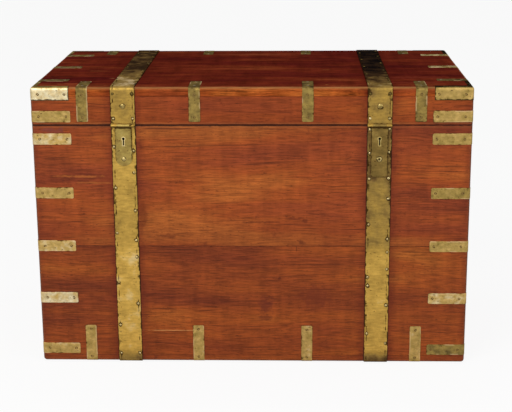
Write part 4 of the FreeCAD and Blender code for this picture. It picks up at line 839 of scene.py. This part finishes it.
# The caps are darker on the top: partly tarnish, partly a painted dark reflection.
solid("lid_corner_caps_brass", caps, clip_brass, "lid", ["lid_corner_caps"],
      {"tarnish_and_reflection": 0.06 + 0.30 * (x > 0) + 0.60 * fade(z, TOP - 0.003, TOP),
       "rim": joined(caps, 2)}, merged=True)

# ---------------------------------------------------------------- screws, nails and rivets
# Browned steel wood screws with slotted countersunk heads hold the clips; brass nails with
# hammered domed heads hold the straps, and one large rivet each the lid's front straps.

SCREW_RADIUS, NAIL_RADIUS, NAIL_HEIGHT = 0.0031, 0.0024, 0.001
BOSS_RADIUS, BOSS_HEIGHT, FOOT_LEVEL = 0.005, 0.0018, -0.001


def placed(base, seats_at, spread, tilt, seed):
    """Copies of a small head, whose own axis is +Z, on seats of place and outward direction:
    each is turned at random about its axis and scaled and tilted a little, as one product of
    arrays."""
    points, faces = base
    random = np.random.default_rng(seed)
    seats_at = np.array(seats_at)
    out = seats_at[:, 3:] + random.normal(0, tilt, (len(seats_at), 3))
    out /= np.linalg.norm(out, axis=1, keepdims=True)
    guess = np.where(np.abs(out[:, 2:]) > 0.7, [[1.0, 0, 0]], [[0, 0, 1.0]])
    side = np.cross(guess, out)
    side /= np.linalg.norm(side, axis=1, keepdims=True)
    turn = random.uniform(0, 2 * pi, (len(seats_at), 1))
    first = np.cos(turn) * side + np.sin(turn) * np.cross(out, side)
    axes = np.stack([first, np.cross(out, first), out], 1)
    size = 1 + random.uniform(-spread, spread, (len(seats_at), 1, 3)) * [1, 1, 0]
    grid = np.einsum("nkj,nji->nki", points[None] * size, axes) + seats_at[:, None, :3]
    start = np.arange(len(seats_at))[:, None, None] * len(points)
    return grid.reshape(-1, 3), (faces[None] + start).reshape(-1, 4).tolist()


def screw_head(radius):
    """A slotted head: a closed skin over the unit square in u and v, drawn to a disc by
    narrowing u with the square root of 1 - v squared, slightly domed, the slot along u."""
    slot_v = np.array([-0.97, -0.8, -0.5, -0.17, -0.15, 0.15, 0.17, 0.5, 0.8, 0.97])
    points, faces = lattice([np.array([-1, -0.5, 0.5, 1.0]), slot_v, np.array([-0.5, 1.0])])
    slot_half, slot_depth, rise, foot = 0.16, 0.0009, 0.00015, -0.0012
    u, v, level = points.T
    x = u * np.sqrt(1 - v ** 2) * radius
    slot = (np.abs(v) < slot_half) * (level > 0)
    dome = rise * (1 - (x / radius) ** 2 - v ** 2)
    z = np.where(level > 0, dome - slot_depth * slot, foot)
    return np.stack([x, v * radius, z], -1), faces


def dome_head(radius, height, rings, count):
    """A hammered dome: rings of points whose height is that of a sphere's cap, a flat foot
    under it, and a small flat at the crown."""
    part = np.linspace(0.28, 1, rings)[:, None]
    angle = np.arange(count) * 2 * pi / count
    uneven = 1 + 0.05 * np.sin(2 * angle + 1) + 0.03 * np.sin(5 * angle)
    x, y = part * radius * np.cos(angle) * uneven, part * radius * np.sin(angle) * uneven
    dome = np.stack([x, y, np.broadcast_to(height * (1 - part ** 2), x.shape)], -1)
    foot = dome[-1:] * [1, 1, 0] + [0, 0, FOOT_LEVEL]
    crown, sole = (np.broadcast_to([0, 0, level], foot.shape) for level in (height, FOOT_LEVEL))
    grid = np.concatenate([crown, dome, foot, sole])
    return grid.reshape(-1, 3), ring_faces(len(grid), count)[1]


# Browned steel, dulled with old wax and brass polish: dark ochre dots, hardly glossy.
screw_steel, tree, shader, place = material_of("browned_steel_screw")
rust = add(tree, "TexNoise", {"Vector": place.outputs["Object"], "Scale": 1000 / 2.4,
                              "Detail": 3.0})
browned = add(tree, "ValToRGB", (rust,), ((0.35, "#4a3719"), (0.55, "#75592a"), (0.75, "#9c8048")))
connect(shader, {"Base Color": browned, "Metallic": 0.7, "Roughness": 0.5})

# Hammered heads catch the light: pale dots in a dark ring, and dull brown dots on the top,
# partly a painted dark reflection.
nail_brass = brass("hammered_brass_nail", ((0.0, "#e8d6a4"), (0.3, "#b9a05f"), (0.55, "#7c6a38"),
                                           (0.85, "#2a2013")), 5, 1.2, 0.34)

for body in ("base", "lid"):
    solid(f"{body}_clip_screws_steel",
          [placed(screw_head(SCREW_RADIUS), screw_seats[body], 0.05, 0.01, 3)], screw_steel, body,
          [f"{body}_clip_screws"], {})
    shells = [placed(dome_head(NAIL_RADIUS, NAIL_HEIGHT, 4, 10), nail_seats[body], 0.12, 0.05, 5)]
    if body == "lid":
        shells.append(placed(dome_head(BOSS_RADIUS, BOSS_HEIGHT, 6, 20), boss_seats, 0.03, 0.02, 6))
    _, y, z = joined(shells).T
    # The upper nails on the lid's front, 66 mm over the joint, have gone black.
    blackened = (y < FRONT) & (np.abs(z - JOINT - 0.066) < 0.004)
    # On the top the heads are darker: partly tarnish, partly a painted dark reflection.
    tarnish_and_reflection = 0.20 + 0.42 * fade(z, TOP - 0.001, TOP) + 0.42 * blackened
    tarnish_and_reflection[len(shells[0][0]):] += 0.20
    solid(f"{body}_strap_nails_brass", shells, nail_brass, body,
          [f"{body}_strap_nails"], {"tarnish_and_reflection": tarnish_and_reflection, "rim": np.full(len(z), 0.35)}, merged=True)

# ---------------------------------------------------------------- hasps and staples
# Heavy cast brass hasps, filed flat, with a rim round the keyhole, hang on the lid's front
# straps.  A brass staple is riveted through each and drops into the lock.

HASP_HALF, HASP_RIM_Y, STAPLE_HEAD_Y, STAPLE_FOOT_Y = 0.0175, -0.25865, -0.2600, -0.2588


def eased_copy(name, node, body, material, width, marks, cuts):
    """A copy of a CAD piece, its loose triangles merged and its flats rejoined, with a small
    rounded bevel on every sharp edge.  The cuts, as axis and step, divide its flats finely
    enough to hold the marks, which are worked out from the points."""
    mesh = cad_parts[node].data.copy()
    with editing(mesh) as edit:
        bmesh.ops.remove_doubles(edit, verts=edit.verts, dist=1e-6)
        bmesh.ops.dissolve_limit(edit, angle_limit=radians(0.5), verts=edit.verts,
                                 edges=edit.edges)
    made = in_scene(name, mesh)
    bevel = made.modifiers.new("eased", "BEVEL")
    bevel.width, bevel.segments, bevel.limit_method = width, 2, "ANGLE"
    bevel.angle_limit = radians(35)
    keep_modified(made)
    lowest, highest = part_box(node)
    with editing(made.data) as edit:
        for axis, step in cuts:
            square = np.eye(3)[axis]
            for level in np.arange(lowest[axis] + step, highest[axis], step):
                bmesh.ops.bisect_plane(edit, geom=edit.verts[:] + edit.edges[:] + edit.faces[:],
                                       dist=1e-6, plane_co=(square * level).tolist(),
                                       plane_no=square.tolist())
    places = np.empty(len(made.data.vertices) * 3)
    made.data.vertices.foreach_get("co", places)
    write_marks(made.data, marks(places.reshape(-1, 3)))
    made.data.materials.clear()
    assign(made, material, 30, body, [node])


def hasp_marks(points):
    """Edges dark with dirt, and a painted shadow in the crease under the barrel; the rim round
    the keyhole rubbed bright; the right one duller.
    """
    x, y, z = points.T
    inset = (HASP_HALF - np.abs(np.abs(x) - STRAP_X)).clip(0)
    drop = JOINT - z
    below = drop > 0.004
    painted_crease_shadow = fade(drop, 0.0015, 0.003) * fade(drop, 0.008, 0.005)
    return {"rim": np.maximum(0.8 * np.exp(-(inset / 0.0016) ** 2) * below, 1.1 * painted_crease_shadow),
            "tarnish_and_reflection": np.where(x < 0, 0.34, 0.53) - 0.3 * ((y < HASP_RIM_Y) & below)
            - 0.08 * ~below}


def staple_marks(points):
    """The riveted head rubbed bright, its foot dark."""
    return {"rim": 0.8 * fade(points[:, 1], STAPLE_HEAD_Y, STAPLE_FOOT_Y),
            "tarnish_and_reflection": np.full(len(points), 0.34)}


# Cast and filed plates, handled often: dull olive gold with a brighter keyhole; and the head
# of the staple, rubbed nearly white.
hasp_brass = brass("cast_brass_hasp", ((0.0, "#dcc48a"), (0.25, "#b29a54"), (0.48, "#876d39"),
                                       (0.72, "#584825"), (1.0, "#1f1810")), 22, 7, 0.40)
staple_brass = brass("rubbed_brass_staple", ((0.0, "#f3e6c0"), (0.3, "#cdb574"), (0.6, "#8d7c45"),
                                             (1.0, "#2a2013")), 9, 5, 0.32)
for side in SIDES:
    eased_copy(f"{side}_hasp_brass", f"{side}_hasp", f"{side}_hasp", hasp_brass,
               0.0004, hasp_marks, ((0, 0.002), (2, 0.002)))
    eased_copy(f"{side}_staple_brass", f"{side}_staple", f"{side}_hasp",
               staple_brass, 0.0003, staple_marks, ())

# ---------------------------------------------------------------- locks and hinge pins
# Forged and filed iron lock cases, let in from behind the front board and closed by screwed
# caps, with drawn steel bolts and springs; steel pins hold the hinges.  All are oiled and dark.


def finish_node(node, material):
    """Gives a CAD piece whose shape is right its finish."""
    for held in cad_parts[node].material_slots:
        held.link = "OBJECT"
        held.material = material


def dark_metal(name, low, high, roughness, patch):
    """Oiled iron or steel: two tones clouded by noise, with a little bump."""
    material, tree, shader, place = material_of(name)
    cloud = add(tree, "TexNoise", {"Vector": place.outputs["Object"], "Scale": 1000 / patch,
                                   "Detail": 4.0})
    connect(shader, {
        "Base Color": add(tree, "ValToRGB", (cloud,), ((0.35, low), (0.7, high))),
        "Roughness": add(tree, "MapRange", {0: cloud, 3: roughness - 0.1, 4: roughness + 0.15}),
        "Normal": add(tree, "Bump", {"Strength": 0.3, "Distance": 0.0005, "Height": cloud}),
        "Metallic": 0.9})
    return material


# Forged iron is nearly black and dull; drawn steel is a smoother grey.
lock_iron = dark_metal("forged_iron_lock", "#241d19", "#5b4c40", 0.55, 12)
pin_steel = dark_metal("drawn_steel_pin", "#4a4038", "#8d8376", 0.35, 6)
for side in SIDES:
    for node in ("lock_case", "lock_cap"):
        finish_node(f"{side}_{node}", lock_iron)
    for node in ("lock_bolt", "lock_spring", "hinge_pin", "hasp_pin"):
        finish_node(f"{side}_{node}", pin_steel)
finish_node("lock_cap_screws", screw_steel)

# ---------------------------------------------------------------- side handles
# Cast brass back plates with two posts, screwed to the ends; the drop handles are forged rods,
# thicker in the hand, whose ends turn in the posts.

HANDLE_X, HANDLE_Z, ARM_Y, GRIP_DROP, BEND = 0.4695, 0.3576, 0.064, 0.055, 0.016
ROD, PIVOT, POST_Y, SHOULDER_Y, SWELL = 0.0045, 0.0035, 0.042, 0.059, 0.0014
PLATE_HALF_Y, PLATE_HALF_Z = 0.067, 0.023

# Cast brass, dull and brown by the posts, worn golden where the hand lifts.
handle_brass = brass("cast_brass_handle", ((0.0, "#dcc07a"), (0.3, "#b3964e"), (0.55, "#86763d"),
                                           (1.0, "#2a2013")), 24, 7, 0.40)


def rod_along(points, radii, count=20):
    """A round rod: circles of the given radii, square to the path, joined ring to ring, with
    both ends closed.  The path lies in a plane of constant x."""
    travel = np.gradient(points, axis=0)
    travel /= np.linalg.norm(travel, axis=1, keepdims=True)
    side = np.tile([1.0, 0, 0], (len(points), 1))
    other = np.cross(travel, side)
    angle = (np.arange(count) * 2 * pi / count)[None, :, None]
    grid = points[:, None] + radii[:, None, None] * (np.cos(angle) * side[:, None]
                                                     + np.sin(angle) * other[:, None])
    index, quads = ring_faces(len(points), count)
    faces = quads[:, [0, 3, 2, 1]].tolist() + [index[0][::-1].tolist(), index[-1].tolist()]
    return grid.reshape(-1, 3), faces


def plate_marks(points):
    """Dirt at the plate's edge and round the posts."""
    edge = np.minimum(PLATE_HALF_Y - np.abs(points[:, 1]),
                      PLATE_HALF_Z - np.abs(points[:, 2] - HANDLE_Z)).clip(0)
    return {"rim": 0.8 * np.exp(-(edge / 0.002) ** 2), "tarnish_and_reflection": np.full(len(edge), 0.5)}


# Half of the handle's path, from the post out, round the knee, down the arm and in to the grip.
turn, knee = np.linspace(0, pi / 2, 10)[1:], np.linspace(0, pi / 2, 6)[1:]
grip = np.linspace(ARM_Y - BEND, 0, 9)[1:-1]
half_y = np.concatenate([[POST_Y], np.linspace(SHOULDER_Y, ARM_Y - ROD, 3),
                         ARM_Y - ROD * np.cos(knee), np.full(6, ARM_Y),
                         ARM_Y - BEND + BEND * np.cos(turn), grip])
half_z = np.concatenate([np.zeros(4), -ROD * np.sin(knee) ** 2,
                         np.linspace(-ROD, -GRIP_DROP + BEND, 8)[1:-1],
                         -GRIP_DROP + BEND - BEND * np.sin(turn), np.full(len(grip), -GRIP_DROP)])
half_r = np.concatenate([[PIVOT, PIVOT, PIVOT + 0.0003, ROD - 0.0002], np.full(20, ROD),
                         ROD + SWELL * fade(grip, ARM_Y - BEND, 0.008)])
y = np.concatenate([half_y, [0.0], -half_y[::-1]])
z = HANDLE_Z + np.concatenate([half_z, [-GRIP_DROP], half_z[::-1]])
radii = np.concatenate([half_r, [ROD + SWELL], half_r[::-1]])
for side, sx in SIDES.items():
    points, faces = rod_along(np.stack([np.full(len(y), sx * HANDLE_X), y, z], -1), radii)
    held = fade(points[:, 2], HANDLE_Z - 0.03, HANDLE_Z - GRIP_DROP)
    solid(f"{side}_handle_brass", [(points, faces)], handle_brass, f"{side}_bail",
          [f"{side}_handle"], {"tarnish_and_reflection": 0.5 - 0.3 * held, "rim": 0.3 - 0.3 * held}, merged=True)
    eased_copy(f"{side}_handle_plate_brass", f"{side}_handle_plate", "base",
               handle_brass, 0.0005, plate_marks, ((1, 0.003), (2, 0.003)))
finish_node("handle_plate_screws", screw_steel)

# ---------------------------------------------------------------- floor, light and camera
# A pale studio floor that runs out of view, an even white surround and two soft lamps.  They
# show the chest and are no part of it.

FLOOR_REACH, FLOOR_GLOW, SURROUND, LAMPS_AIM = 16.0, 0.90, 0.46, Vector((0, 0, 0.35))

floor_mesh = bpy.data.meshes.new("floor")
floor_mesh.from_pydata([(x, y, 0.0) for y in (-FLOOR_REACH, FLOOR_REACH)
                        for x in (-FLOOR_REACH, FLOOR_REACH)], [], [(0, 1, 3, 2)])
in_scene("floor", floor_mesh)

# Matt white paint: the glow lifts it to the white of the surround, and it keeps the shadow.
floor_paint, tree, shader, place = material_of("matt_white_floor")
connect(shader, {"Base Color": "#f2f2f2", "Roughness": 0.9, "Specular IOR Level": 0.0})
seen = add(tree, "LightPath", ()).outputs
share = add(tree, "Math", (seen["Is Camera Ray"], FLOOR_GLOW), operation="MULTIPLY")
glow = add(tree, "Emission", {"Strength": 1.0})
connect(tree.nodes["Material Output"], {"Surface": add(tree, "MixShader", (share, shader, glow))})
floor_mesh.materials.append(floor_paint)

# The surround is white to the camera and in reflections, and a softer light on the chest.
world = bpy.context.scene.world or bpy.data.worlds.new("surround")
bpy.context.scene.world = world
world.use_nodes = True
tree = world.node_tree
even = tree.nodes["Background"]
connect(even, {"Color": (1, 1, 1, 1), "Strength": SURROUND})
white = add(tree, "Background", {"Color": (1, 1, 1, 1), "Strength": 1.0})
seen = add(tree, "LightPath", ()).outputs
direct = add(tree, "Math", (seen["Is Camera Ray"], seen["Is Glossy Ray"]), operation="MAXIMUM")
direct = add(tree, "Math", (direct, seen["Is Transmission Ray"]), operation="MAXIMUM")
connect(tree.nodes["World Output"], {"Surface": add(tree, "MixShader", (direct, even, white))})

for name, place, size, power in (("key_lamp", (-1.6, -2.6, 2.6), 2.2, 62),
                                 ("fill_lamp", (2.4, -2.0, 1.6), 2.6, 26)):
    lamp = bpy.data.lights.new(name, "AREA")
    lamp.energy, lamp.size = power, size
    toward = Vector(place) - LAMPS_AIM
    in_scene(name, lamp).matrix_world = (Matrix.Translation(place)
                                         @ toward.to_track_quat("Z", "Y").to_matrix().to_4x4())

# The eye's place, its turn, how far it looks down and its roll, in metres and degrees.
EYE, TURN, LOOK_DOWN, ROLL = (0.0871, -2.7864, 1.0577), 1.759, 14.623, -0.375
camera = bpy.data.cameras.new("camera")
camera.sensor_width, camera.sensor_fit = 36, "HORIZONTAL"
camera.lens, camera.shift_y = 87.95, -0.04
eye = in_scene("camera", camera)
eye.matrix_world = (Matrix.Translation(EYE) @ Matrix.Rotation(radians(TURN), 4, "Z")
                    @ Matrix.Rotation(radians(90 - LOOK_DOWN), 4, "X")
                    @ Matrix.Rotation(radians(ROLL), 4, "Z"))
bpy.context.scene.camera = eye
bpy.context.scene.view_settings.view_transform = "Standard"
